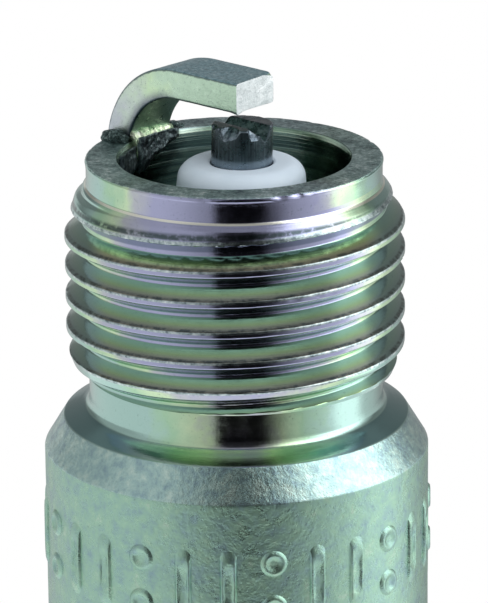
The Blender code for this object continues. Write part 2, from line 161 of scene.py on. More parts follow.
def mesh_object(name, points, faces, material, sharp_angle=40.0):
    """A smooth-shaded object from points in millimetres."""
    mesh = bpy.data.meshes.new(name)
    mesh.from_pydata((np.asarray(points) * MM).tolist(), [], faces)
    mesh.validate()
    mesh.shade_smooth()
    mesh.set_sharp_from_angle(angle=math.radians(sharp_angle))
    mesh.materials.append(material)
    piece = bpy.data.objects.new(name, mesh)
    bpy.context.scene.collection.objects.link(piece)
    return piece


def face_outward(piece):
    """Turn all faces of a closed piece to face out."""
    bm = bmesh.new()
    bm.from_mesh(piece.data)
    bmesh.ops.recalc_face_normals(bm, faces=bm.faces)
    bm.to_mesh(piece.data)
    bm.free()
    return piece


def grid_faces(rows, columns, first=0, wrap_rows=False, wrap_columns=True, flip=False):
    """Quads over points numbered row by row, facing out when rows run down the outside."""
    faces = []
    for row in range(rows if wrap_rows else rows - 1):
        near = first + row * columns
        far = first + (row + 1) % rows * columns
        for column in range(columns if wrap_columns else columns - 1):
            beside = (column + 1) % columns
            face = (near + column, far + column, far + beside, near + beside)
            faces.append(face[::-1] if flip else face)
    return faces


def capped_grid(rows, columns, first):
    """Faces of a closed skin, with one flat face over its first row and one over its last."""
    top = tuple(range(first, first + columns))
    bottom = tuple(range(first + (rows - 1) * columns, first + rows * columns))
    return grid_faces(rows, columns, first) + [top, bottom[::-1]]


def close_ends(points, faces, rows, columns, ends):
    """Add two end points to a skin, and the fans that join them to its first and last rows."""
    tip = len(points)
    last = (rows - 1) * columns
    for column in range(columns):
        beside = (column + 1) % columns
        faces.append((tip, column, beside))
        faces.append((tip + 1, last + beside, last + column))
    return np.vstack([points, ends]), faces


def angles_of(columns):
    return np.arange(columns) * TAU / columns


def turned_points(radius, height, angles, shift=None):
    """Points from radius and height arrays that broadcast over rows by columns."""
    radius, height, angles = np.broadcast_arrays(radius, height, angles)
    offset = shift(height) if shift else 0.0
    return np.stack([radius * np.cos(angles) + offset, radius * np.sin(angles), height], axis=-1)


def rounded_path(spots, step):
    """Points along a line of (radius, height, rounding) corners, rounded and split at step."""
    arc_points = 4
    path = []
    for index, (radius, height, rounding) in enumerate(spots):
        here = np.array([radius, height])
        inner = 0 < index < len(spots) - 1
        if not inner or rounding == 0:
            path.append(here)
            continue
        before = np.array(spots[index - 1][:2]) - here
        after = np.array(spots[index + 1][:2]) - here
        reach = min(rounding, 0.45 * np.linalg.norm(before), 0.45 * np.linalg.norm(after))
        start = here + before / np.linalg.norm(before) * reach
        end = here + after / np.linalg.norm(after) * reach
        for along in np.linspace(0, 1, arc_points):
            path.append((1 - along) ** 2 * start + 2 * along * (1 - along) * here + along**2 * end)
    filled = [path[0]]
    for near, far in zip(path, path[1:]):
        pieces = max(1, math.ceil(np.linalg.norm(far - near) / step))
        filled += [near + (far - near) * i / pieces for i in range(1, pieces + 1)]
    return np.array(filled)


def turned_piece(name, spots, material, columns, step, shift=None, cut=None):
    """A turned solid. A profile that starts and ends on the axis is closed by points there."""
    path = rounded_path(spots, step)
    angles = angles_of(columns)[None, :]
    solid = path[0][0] == 0 and path[-1][0] == 0
    rings = path[1:-1] if solid else path
    radius = np.repeat(rings[:, :1], columns, axis=1)
    height = np.repeat(rings[:, 1:], columns, axis=1)
    if cut:
        radius = cut(radius, height, angles)
    points = turned_points(radius, height, angles, shift).reshape(-1, 3)
    faces = grid_faces(len(rings), columns, wrap_rows=not solid)
    if solid:
        ends = turned_points(0.0, path[[0, -1], 1], 0.0, shift)
        points, faces = close_ends(points, faces, len(rings), columns, ends)
    return mesh_object(name, points, faces, material)


# ---- node helpers


class Nodes:
    """Short ways to fill a node tree. Most methods return an output socket."""

    def __init__(self, tree):
        self.tree = tree

    def node(self, kind, **settings):
        node = self.tree.nodes.new(kind)
        for key, value in settings.items():
            setattr(node, key, value)
        return node

    def link(self, source, target):
        """Join a socket to a target, or give the target a plain value."""
        if hasattr(source, "is_linked"):
            self.tree.links.new(source, target)
        else:
            target.default_value = source

    def math(self, operation, a, b=0.0):
        node = self.node("ShaderNodeMath", operation=operation)
        self.link(a, node.inputs[0])
        self.link(b, node.inputs[1])
        return node.outputs[0]

    def times(self, first, *others):
        for other in others:
            first = self.math("MULTIPLY", first, other)
        return first

    def plus(self, first, *others):
        for other in others:
            first = self.math("ADD", first, other)
        return first

    def minus(self, a, b):
        return self.math("SUBTRACT", a, b)

    def span(self, value, low, high, to_low=0.0, to_high=1.0):
        """The value's place between low and high, smoothly, held at both ends."""
        node = self.node("ShaderNodeMapRange", interpolation_type="SMOOTHSTEP")
        self.link(value, node.inputs["Value"])
        for key, number in zip(("From Min", "From Max", "To Min", "To Max"), (low, high, to_low, to_high)):
            node.inputs[key].default_value = number
        return node.outputs["Result"]

    def band(self, value, start, full, still_full, end):
        """1 from full to still_full and 0 outside start and end, smoothly."""
        return self.times(self.span(value, start, full), self.span(value, end, still_full))

    def ramp(self, value, stops):
        """Colours along a value, from (position, (r, g, b)) stops."""
        node = self.node("ShaderNodeValToRGB")
        self.link(value, node.inputs[0])
        elements = node.color_ramp.elements
        while len(elements) < len(stops):
            elements.new(0.5)
        for element, (position, colour) in zip(elements, stops):
            element.position = position
            element.color = (*colour, 1)
        return node.outputs["Color"]

    def blend(self, amount, a, b):
        """Colour a with this amount of colour b over it."""
        node = self.node("ShaderNodeMix", data_type="RGBA")
        self.link(amount, node.inputs[0])
        for colour, target in ((a, node.inputs[6]), (b, node.inputs[7])):
            self.link((*colour, 1) if isinstance(colour, tuple) else colour, target)
        return node.outputs[2]


class Look(Nodes):
    """One procedural material, worked out from the places on the object in millimetres."""

    def __init__(self, name, metallic=1.0):
        self.material = bpy.data.materials.new(name)
        self.material.use_nodes = True
        super().__init__(self.material.node_tree)
        self.shader = self.tree.nodes["Principled BSDF"]
        self.shader.inputs["Metallic"].default_value = metallic
        self.normal = None
        self.colour = None
        self.coordinates = self.node("ShaderNodeTexCoord")
        scaled = self.node("ShaderNodeVectorMath", operation="SCALE")
        self.link(self.coordinates.outputs["Object"], scaled.inputs[0])
        scaled.inputs["Scale"].default_value = 1 / MM
        self.place = scaled.outputs[0]
        self.x, self.y, self.height = self.split(self.place)
        self.radius = self.math("SQRT", self.plus(self.times(self.x, self.x), self.times(self.y, self.y)))
        self.angle = self.math("ARCTAN2", self.y, self.x)

    def split(self, vector):
        node = self.node("ShaderNodeSeparateXYZ")
        self.link(vector, node.inputs[0])
        return node.outputs

    def combine(self, x, y, z=0.0):
        node = self.node("ShaderNodeCombineXYZ")
        for value, target in zip((x, y, z), node.inputs):
            self.link(value, target)
        return node.outputs[0]

    def facing_up(self):
        """How far the surface faces up, from -1 to 1."""
        return self.split(self.coordinates.outputs["Normal"])[2]

    def distance(self, a, b):
        node = self.node("ShaderNodeVectorMath", operation="DISTANCE")
        self.link(a, node.inputs[0])
        self.link(b, node.inputs[1])
        return node.outputs["Value"]

    def noise(self, scale, detail=3.0, roughness=0.55, place=None):
        """Noise with features 1 / scale millimetres across, centred on 0.5."""
        node = self.node("ShaderNodeTexNoise")
        self.link(place or self.place, node.inputs["Vector"])
        for key, number in zip(("Scale", "Detail", "Roughness"), (scale, detail, roughness)):
            node.inputs[key].default_value = number
        return node.outputs["Fac"]

    def wander(self, scale, amount):
        """Slow noise centred on 0."""
        return self.times(self.minus(self.noise(scale, 3, 0.6), 0.5), amount)

    def turning(self, per_mm, wander=0.05):
        """Fine lines round the axis, as a lathe tool leaves them, from 0 to 1."""
        drift = self.times(self.noise(0.35, 2), wander * 10)
        lines = self.combine(self.plus(self.times(self.height, per_mm), drift), drift)
        return self.noise(1.0, 4, 0.7, place=lines)

    def streaks(self, around, along, roughness):
        """Noise drawn out along the axis, from 0 to 1."""
        place = self.combine(self.times(self.angle, around), self.times(self.height, along))
        return self.noise(1.0, 4, roughness, place=place)

    def paint(self, amount, colour):
        """Lay this amount of a colour over the colour so far."""
        self.colour = self.blend(amount, self.colour, colour)

    def bump(self, height, depth):
        """Relief of this many millimetres for a height of 0 to 1, added to the relief so far."""
        node = self.node("ShaderNodeBump")
        self.link(height, node.inputs["Height"])
        node.inputs["Strength"].default_value = 1.0
        node.inputs["Distance"].default_value = depth * MM
        if self.normal is not None:
            self.link(self.normal, node.inputs["Normal"])
        self.normal = node.outputs["Normal"]

    def gloss(self, scale, detail, low, high):
        """Roughness that varies between two values in patches."""
        return self.span(self.noise(scale, detail), 0.3, 0.7, low, high)

    def finish(self, roughness):
        self.link(self.colour, self.shader.inputs["Base Color"])
        self.link(roughness, self.shader.inputs["Roughness"])
        self.link(self.normal, self.shader.inputs["Normal"])
        return self.material


# ---- the shell's plating

TEAL = (0.42, 0.63, 0.58)
GREEN = (0.42, 0.66, 0.46)
YELLOW_GREEN = (0.62, 0.80, 0.54)
LILAC = (0.42, 0.44, 0.64)
GREY_LILAC = (0.52, 0.55, 0.60)
NAVY_SHADE = (0.38, 0.42, 0.52)
BLACK_GREEN = (0.05, 0.07, 0.07)

UNFINISHED = (9.0, 10.40)  # heights between which the thread's first crest isn't filled
SEAT_EDGE = 0.457  # where the seat meets the shoulder above it


class ShellLook(Look):
    """Zinc plating under an iridescent passivate. Its zones follow the thread's helix and the heights."""

    def __init__(self):
        super().__init__("plated_shell")
        around = self.math("DIVIDE", self.angle, TAU)
        turns = self.minus(self.math("DIVIDE", self.minus(self.height, CREST_PHASE), PITCH), around)
        # distance above the nearest crest, and the height of that crest at this angle
        self.above = self.times(self.minus(self.math("FRACT", self.plus(turns, 0.5)), 0.5), PITCH)
        self.crest_height = self.minus(self.height, self.above)
        first, last = UNFINISHED
        self.lead = self.band(self.crest_height, first, first + 0.15, last - 0.15, last)
        cone = self.times(self.span(self.radius, 6.0, 6.08), self.lead, self.span(self.above, -0.30, -0.24))
        self.cone = self.math("MAXIMUM", cone, self.span(self.crest_height, last - 0.15, last))
        self.thread_low = self.span(self.height, 2.36, 2.42)
        self.to_side = self.math("ABSOLUTE", self.x)
        self.up = self.facing_up()
        self.below_seat = self.span(self.height, SEAT_EDGE - 0.03, SEAT_EDGE + 0.01, 1, 0)
        self.on_barrel = self.span(self.height, -0.90, -0.84, 1, 0)
        self.face = self.times(self.span(self.height, REACH - 0.07, REACH - 0.02),
            self.span(self.up, 0.5, 0.9))
        in_bore = self.span(self.radius, BORE_RADIUS + 0.04, BORE_RADIUS + 0.16, 1, 0)
        self.bore = self.times(in_bore, self.span(self.height, -2.0, -1.0))

    def film(self):
        """The film's colour runs from teal through yellow-green to lilac, round and along the shell."""
        lobes = self.math("COSINE", self.times(self.plus(self.angle, math.pi / 2), 2.0))
        film = self.plus(self.times(lobes, 0.5), 0.5)
        film = self.plus(film, self.span(self.height, 2.2, 5.5, -0.62, 0.0), self.wander(0.55, 0.5))
        film = self.minus(film, self.times(self.cone, 0.16))
        self.colour = self.ramp(film, [(0.0, TEAL), (0.14, GREEN), (0.30, YELLOW_GREEN), (0.42, GREY_LILAC),
            (0.58, LILAC), (1.0, LILAC)])

    def thread(self):
        """Bright roots, flanks turning from green to brown at the crest, and navy painted shade underneath.
        """
        depth = self.span(self.radius, ROOT_RADIUS, CREST_RADIUS)
        upper = self.ramp(depth, [(0.05, (0.43, 0.73, 0.47)), (0.24, (0.44, 0.70, 0.38)),
            (0.52, (0.46, 0.62, 0.28)), (0.80, (0.42, 0.45, 0.29)), (0.95, (0.32, 0.31, 0.23))])
        # painted shade: the upward flanks turn dark teal toward the left and right
        upper = self.blend(self.span(self.to_side, 5.0, 6.0, 0, 0.8), upper, (0.24, 0.38, 0.37))
        outside = self.span(self.radius, 6.02, 6.10)
        in_thread = self.times(self.thread_low, outside, self.minus(1.0, self.cone))
        self.paint(self.times(in_thread, self.span(self.up, 0.45, 0.75)), upper)
        # navy painted shade on the downward-facing flanks
        self.paint(self.times(in_thread, self.span(self.up, -0.75, -0.40, 1, 0)), NAVY_SHADE)

    def crests(self):
        """Nicked bright edges, a dark broken line by each, ragged dirt over the unfinished crest with
        painted shade under it, and a painted highlight at the lead.
        """
        above, lead = self.above, self.lead
        finished = self.times(self.band(above, 0.02, 0.06, 0.12, 0.16), self.minus(1.0, lead))
        unfinished = self.times(self.band(above, -0.26, -0.20, -0.06, 0.02), lead)
        worn = self.math("MAXIMUM", finished, unfinished)
        self.worn = self.times(worn, self.thread_low, self.span(self.radius, 6.18, 6.26))
        nicked = self.ramp(self.noise(3.2, 4, 0.75), [(0.34, (0.16, 0.22, 0.23)),
            (0.48, (0.42, 0.52, 0.53)), (0.66, (0.72, 0.82, 0.82))])
        self.paint(self.times(self.worn, 0.9), nicked)
        shade = self.band(above, -0.57, -0.49, -0.26, -0.20)
        self.paint(self.times(shade, lead, 0.8), (0.16, 0.20, 0.30))
        # a dark broken line along each crest's edge toward the firing end
        crest_edge_line = self.times(self.band(above, 0.11, 0.15, 0.19, 0.24), self.thread_low)
        crest_edge_line = self.times(crest_edge_line, self.span(self.radius, 6.5, 6.6))
        self.paint(self.times(crest_edge_line, self.span(self.noise(2.2, 4, 0.75), 0.40, 0.60, 0.9, 0.1)),
            (0.09, 0.11, 0.10))
        dirt = self.times(self.band(above, -0.03, 0.05, 0.14, 0.30), lead,
            self.span(self.radius, 6.22, 6.32))
        dirt = self.times(dirt, self.span(self.noise(3.4, 4, 0.7), 0.48, 0.70, 1.0, 0.35))
        self.paint(self.times(dirt, 0.9), (0.05, 0.08, 0.08))
        # painted highlight: a thin bright line where the chamfer cone meets the lead
        painted_fillet_highlight = self.times(self.band(self.radius, 5.972, 5.99, 6.04, 6.07),
            self.band(self.height, 9.9, 10.0, 10.3, 10.4))
        self.paint(self.times(painted_fillet_highlight, 0.8), (1.0, 1.0, 0.86))

    def seat_and_barrel(self):
        """Satin and mottled surfaces, and the machined shoulder above them, olive with painted shade toward
        the sides.
        """
        mottle = self.noise(1.6, 5, 0.7)
        seat = self.ramp(mottle, [(0.34, (0.30, 0.45, 0.50)), (0.50, (0.42, 0.62, 0.60)),
            (0.66, (0.58, 0.76, 0.70))])
        barrel = self.ramp(mottle, [(0.30, (0.28, 0.43, 0.46)), (0.46, (0.33, 0.53, 0.46)),
            (0.60, (0.36, 0.58, 0.45)), (0.74, (0.48, 0.64, 0.54))])
        self.paint(self.below_seat, self.blend(self.on_barrel, seat, barrel))
        shoulder = self.band(self.height, SEAT_EDGE, SEAT_EDGE + 0.02, 0.85, 0.90)
        shoulder = self.times(shoulder, self.span(self.radius, 6.08, 6.16))
        # painted shade: the shoulder turns dark teal toward the left and right
        shoulder_colour_and_shade = self.blend(self.span(self.to_side, 3.2, 5.2), (0.40, 0.52, 0.36),
            (0.16, 0.30, 0.31))
        self.paint(self.times(shoulder, 0.85), shoulder_colour_and_shade)

    def face_and_bore(self):
        """The end face is pitted with bright high spots, the bore darker along its turning marks."""
        grit = self.plus(self.times(self.noise(6.0, 4, 0.8), 0.55),
            self.times(self.noise(1.1, 4, 0.7), 0.45))
        pits = self.ramp(grit, [(0.40, (0.05, 0.09, 0.10)), (0.49, (0.24, 0.36, 0.36)),
            (0.56, (0.46, 0.60, 0.60)), (0.64, (0.92, 0.97, 0.97))])
        self.paint(self.times(self.face, 0.9), pits)
        self.bore_lines = self.turning(6.0, 0.02)
        bore_colour = self.ramp(self.bore_lines, [(0.34, (0.18, 0.27, 0.26)), (0.52, (0.40, 0.56, 0.46)),
            (0.68, (0.80, 0.92, 0.74))])
        self.paint(self.times(self.bore, 0.9), bore_colour)

    def dirt_and_scorch(self):
        """Fine specks all over, and a scorched patch round the strap's weld."""
        self.paint(self.span(self.noise(9.0, 4, 0.75), 0.30, 0.40, 0.5, 0), (0.10, 0.16, 0.16))
        foot = (-4.95 * math.cos(ARM_AZIMUTH), -4.95 * math.sin(ARM_AZIMUTH), REACH - 0.5)
        ragged = self.plus(self.distance(self.place, foot), self.noise(2.4, 4, 0.7))
        self.paint(self.span(ragged, 1.7, 2.5, 0.8, 0), BLACK_GREEN)

    def relief(self):
        """Turning lines, orange-peel on the forged surfaces and pits on the end face."""
        self.bump(self.times(self.turning(10.0, 0.02), self.minus(1.0, self.below_seat)), 0.005)
        self.bump(self.times(self.noise(5.0, 5, 0.7), self.below_seat), 0.028)
        self.bump(self.times(self.noise(7.0, 5, 0.8), self.face), 0.05)
        self.bump(self.times(self.bore_lines, self.bore), 0.03)
        self.bump(self.noise(2.0, 3, 0.6), 0.004)


def plated_shell():
    look = ShellLook()
    look.film()
    look.thread()
    look.crests()
    look.seat_and_barrel()
    look.face_and_bore()
    look.dirt_and_scorch()
    look.relief()
    rough = look.span(look.noise(2.0, 4, 0.6), 0.3, 0.7, 0.09, 0.17)
    extras = ((look.below_seat, 0.06), (look.on_barrel, 0.10), (look.face, 0.22), (look.worn, 0.08))
    for zone, extra in extras:
        rough = look.plus(rough, look.times(zone, extra))
    return look.finish(rough)


# ---- the other materials


def strap_metal():
    """The strap is plated like the shell. Painted dark reflections line its edges, and painted shade darkens
    the bend's inside.
    """
    look = Look("plated_strap")
    along = look.plus(look.times(look.x, math.cos(ARM_AZIMUTH)), look.times(look.y, math.sin(ARM_AZIMUTH)))
    run = look.minus(along, BEND_ALONG)
    rise = look.minus(look.height, BEND_HEIGHT)
    out = look.distance(look.combine(look.math("MINIMUM", run, 0.0), rise), (0.0, 0.0, 0.0))
    through = look.minus(out, STRAP_BEND)
    up = look.facing_up()
    # the side faces run from yellow-green on the arm to lilac-grey down the bend
    turned = look.math("ARCTAN2", look.times(run, -1.0), rise)
    tint = look.plus(look.times(turned, 0.6), look.wander(0.9, 1.0))
    look.colour = look.ramp(tint, [(0.0, (0.62, 0.84, 0.66)), (0.25, (0.70, 0.92, 0.64)),
        (0.55, (0.66, 0.80, 0.70)), (0.85, (0.60, 0.66, 0.71))])
    # painted shade over the inner half of the bend, darkest at its inside
    bend = look.span(run, -0.9, 0.3, 1, 0)
    inner = look.times(look.span(through, -0.62, -0.12, 1, 0), bend)
    look.paint(look.times(inner, 0.85), (0.16, 0.17, 0.24))
    # top and outer faces: dark teal with bright flecks
    outward = look.times(look.span(through, 0.54, 0.56), look.span(up, 0.45, 0.7))
    top = look.math("MAXIMUM", outward, look.span(through, 0.605, 0.618))
    flecks = look.ramp(look.noise(6.0, 4, 0.75), [(0.40, (0.22, 0.40, 0.46)), (0.56, (0.40, 0.62, 0.70)),
        (0.72, (0.80, 0.92, 0.92))])
    look.paint(top, flecks)
    # painted dark reflections: ragged lines along the edges of the side faces
    edge = look.math("ABSOLUTE", through)
    ragged = look.plus(edge, look.times(look.minus(look.noise(5.0, 3), 0.5), 0.12))
    line = look.times(look.span(ragged, 0.49, 0.56), look.span(edge, 0.616, 0.606),
        look.span(up, 0.80, 0.62))
    look.paint(look.times(line, 0.8), (0.10, 0.15, 0.17))
    # inner face of the bend: dark green
    look.paint(look.times(look.span(through, -0.618, -0.600, 1, 0), bend), (0.30, 0.44, 0.34))
    look.paint(look.span(look.noise(8.0, 4, 0.75), 0.32, 0.44, 0.45, 0), (0.16, 0.22, 0.24))
    look.bump(look.noise(6.0, 5, 0.7), 0.03)
    look.bump(look.noise(22.0, 3, 0.6), 0.006)
    return look.finish(look.span(look.noise(3.0, 4, 0.6), 0.3, 0.7, 0.26, 0.42))


def sheared_metal():
    look = Look("sheared_strap_end")
    look.colour = look.ramp(look.noise(3.0, 4, 0.7), [(0.32, (0.56, 0.62, 0.63)),
        (0.55, (0.76, 0.82, 0.83)), (0.72, (0.90, 0.94, 0.95))])
    stretched = look.combine(look.times(look.x, 9.0), look.times(look.y, 9.0), look.times(look.height, 1.2))
    look.bump(look.noise(1.0, 4, 0.7, place=stretched), 0.02)
    look.bump(look.noise(9.0, 4, 0.7), 0.03)
    return look.finish(look.gloss(6.0, 3, 0.34, 0.55))


def weld_metal():
    """Dark upset metal with bright broken flecks."""
    look = Look("scorched_weld")
    look.colour = look.ramp(look.noise(4.5, 5, 0.8), [(0.38, (0.04, 0.06, 0.06)),
        (0.52, (0.12, 0.18, 0.18)), (0.62, (0.42, 0.56, 0.54)), (0.74, (0.9, 0.95, 0.9))])
    look.bump(look.noise(9.0, 5, 0.8), 0.12)
    return look.finish(look.gloss(8.0, 3, 0.20, 0.45))


def chipped_metal():
    """The bright squeezed-out edge of the weld, yellow-green under its film."""
    look = Look("bright_weld_edge")
    look.colour = look.ramp(look.noise(1.5, 4, 0.7), [(0.34, (0.16, 0.24, 0.18)),
        (0.45, (0.50, 0.68, 0.44)), (0.55, (0.86, 0.98, 0.72)), (0.66, (1.0, 1.0, 0.96))])
    look.bump(look.noise(6.0, 4, 0.7), 0.05)
    return look.finish(look.gloss(8.0, 3, 0.22, 0.45))


def run_metal():
    """Weld metal that ran down the bore: near black, with fine streaks down the slope."""
    look = Look("weld_run")
    streaks = look.streaks(34.0, 1.6, 0.7)
    mottle = look.plus(look.times(streaks, 0.6), look.times(look.noise(5.0, 4, 0.7), 0.4))
    look.colour = look.ramp(mottle, [(0.38, (0.03, 0.04, 0.045)), (0.52, (0.10, 0.13, 0.14)),
        (0.64, (0.36, 0.46, 0.46))])
    look.bump(streaks, 0.035)
    look.bump(look.noise(9.0, 4, 0.75), 0.03)
    return look.finish(look.gloss(6.0, 3, 0.28, 0.5))


def dark_nickel():
    """Drawn nickel, nearly black from firing, with bright broken rims and a bright cut V."""
    look = Look("dark_nickel")
    streaks = look.streaks(14.0, 0.5, 0.65)
    look.colour = look.ramp(streaks, [(0.3, (0.05, 0.065, 0.075)), (0.55, (0.10, 0.13, 0.15)),
        (0.75, (0.20, 0.25, 0.29))])
    look.paint(look.span(look.height, NOSE_TIP + 0.20, NOSE_TIP + 0.36, 0.6, 0), (0.30, 0.37, 0.44))
    slope = look.band(look.facing_up(), 0.10, 0.35, 0.85, 0.96)
    tip = look.span(look.height, CENTRE_TIP - 0.75, CENTRE_TIP - 0.5)
    broken = look.ramp(look.noise(4.0, 4, 0.75), [(0.38, (0.09, 0.12, 0.15)), (0.52, (0.22, 0.28, 0.33)),
        (0.68, (0.42, 0.50, 0.56))])
    look.paint(look.times(slope, tip), broken)
    look.bump(streaks, 0.006)
    look.bump(look.noise(12.0, 4, 0.7), 0.012)
    return look.finish(look.gloss(4.0, 4, 0.22, 0.40))


def ceramic():
    """Pale alumina: matt on the nose, glazed from where it leaves the shell."""
    look = Look("alumina", metallic=0.0)
    look.colour = look.ramp(look.noise(0.6, 4, 0.6), [(0.3, (0.59, 0.70, 0.80)), (0.7, (0.66, 0.76, 0.86))])
    look.paint(look.span(look.noise(16.0, 2, 0.6), 0.22, 0.30, 0.35, 0), (0.45, 0.47, 0.48))
    glazed = look.span(look.height, COLLAR_BOTTOM - 0.1, COLLAR_BOTTOM + 0.1, 1, 0)
    look.paint(glazed, (0.86, 0.87, 0.86))
    look.bump(look.times(look.noise(18.0, 4, 0.7), look.minus(1.0, glazed)), 0.006)
    look.bump(look.noise(0.8, 3, 0.5), 0.02)
    return look.finish(look.minus(0.46, look.times(glazed, 0.36)))


def bright_steel():
    look = Look("bright_terminal")
    look.colour = look.ramp(look.noise(1.2, 4, 0.6), [(0.3, (0.60, 0.60, 0.58)), (0.7, (0.74, 0.74, 0.72))])
    look.paint(look.span(look.noise(5.0, 5, 0.75), 0.30, 0.42, 0.35, 0), (0.22, 0.21, 0.20))
    look.bump(look.turning(8.0), 0.01)
    look.bump(look.noise(4.0, 3, 0.6), 0.006)
    return look.finish(look.gloss(2.5, 4, 0.18, 0.34))


def inner_metal(name, dark, light, roughness):
    look = Look(name)
    look.colour = look.ramp(look.noise(2.5, 4, 0.6), [(0.3, dark), (0.7, light)])
    look.bump(look.turning(5.0), 0.01)
    return look.finish(look.gloss(3.0, 4, roughness - 0.08, roughness + 0.1))


def inner_powder(name, dark, light, metallic=0.0):
    look = Look(name, metallic)
    look.colour = look.ramp(look.noise(5.0, 5, 0.75), [(0.35, dark), (0.65, light)])
    look.bump(look.noise(9.0, 5, 0.75), 0.04)
    return look.finish(look.gloss(6.0, 3, 0.6, 0.9))


# ---- the threaded shell

SHELL_COLUMNS = 216
THREAD_STEP = 0.027
THREAD_TOP = 10.26
THREAD_BOTTOM = 2.36
HEX_TOP = -11.7
HEX_BOTTOM = -20.7
HEX_FACE_RADIUS = 7.72


def thread_profile(distance):
    """Thread radius at a distance along Z from the middle of a crest, its corners rounded."""
    crest_half, rounding = 0.125, 0.020
    fine = np.linspace(0, PITCH / 2, 126)
    sharp = np.clip(CREST_RADIUS - FLANK_SLOPE * (fine - crest_half), ROOT_RADIUS, CREST_RADIUS)
    mirrored = np.concatenate([sharp[::-1], sharp[1:], sharp[::-1][1:]])
    kernel = np.exp(-0.5 * (np.arange(-20, 21) * (fine[1] - fine[0]) / rounding) ** 2)
    smooth = np.convolve(mirrored, kernel / kernel.sum(), mode="same")
    start = len(sharp) - 1
    return np.interp(distance, fine, smooth[start : start + len(fine)])


def thread_surface(height, angle):
    """Radius of the worn thread at these heights and angles."""
    turns = (height - CREST_PHASE) / PITCH - angle / TAU
    above = ((turns + 0.5) % 1 - 0.5) * PITCH
    # under the first, unfinished crest the cut is wider
    wider = 1 + 0.9 * smooth_step(height - above, 9.0, 9.2)
    distance = np.abs(np.where(above < 0, np.maximum(above * wider, -PITCH / 2), above))
    radius = thread_profile(distance)
    # the blank's chamfers leave the first and last crests unfilled
    lead = np.interp(height, [8.62, 9.2, 9.58, 9.9, 10.2], [6.90, 6.57, 6.45, 6.24, LEAD_RADIUS])
    runout = np.interp(height, [2.37, 2.40, 2.85, 3.55], [NECK_RADIUS, 6.42, 6.62, 6.90])
    radius = soft_min(radius, np.minimum(lead, runout), 0.03)
    places = turned_points(radius, height, angle)
    crest = smooth_step(distance, 0.24, 0.14) * smooth_step(radius, ROOT_RADIUS + 0.1, ROOT_RADIUS + 0.3)
    nicks = smooth_step(rough_noise(places, 0.38, 3, 5), 0.35, 0.75)
    fine_nicks = smooth_step(rough_noise(places, 0.16, 2, 15), 0.3, 0.8)
    wave = rough_noise(places, 1.6, 2, 9)
    return radius - crest * (0.035 * nicks + 0.012 * fine_nicks + 0.008 * wave)


def hexagon_radius(angle):
    sector = TAU / 6
    flat = HEX_FLATS / 2 / np.cos((angle + sector / 2) % sector - sector / 2)
    return np.minimum(flat, HEX_CORNER_RADIUS)


def seat_height(radius):
    return (GAUGE_RADIUS - radius) / math.tan(SEAT_ANGLE)


def wear_shell(radius, height, angles):
    """Boring marks near the mouth, a chipped rim, a rough end face and orange-peel on forged surfaces."""
    places = turned_points(radius, height, angles)
    bore = (radius < 4.75) & (height > 3.0) & (height < REACH - 0.15)
    rings = rough_noise(np.stack([height / 0.16, angles * 0.4 + 0 * height, 0 * height], axis=-1), 1.0, 3,
        2)
    radius = radius + np.where(bore, 0.022 * rings, 0)
    rim = smooth_step(height, REACH - 0.30, REACH - 0.05) * smooth_step(radius, 5.6, 5.9)
    chips = smooth_step(rough_noise(places, 0.30, 3, 21), 0.15, 0.7)
    radius = radius - rim * 0.07 * chips
    height = height - rim * 0.05 * chips
    face = smooth_step(height, REACH - 0.1, REACH - 0.02) * smooth_step(radius, 4.8, 5.0)
    height = height + face * 0.012 * rough_noise(places, 0.25, 3, 23)
    forged = (height < seat_height(SEAT_TOP_RADIUS) - 0.03) & (radius > 7.0) & (height > HEX_TOP + 0.2)
    return radius + np.where(forged, 0.010 * rough_noise(places, 0.30, 3, 25), 0), height


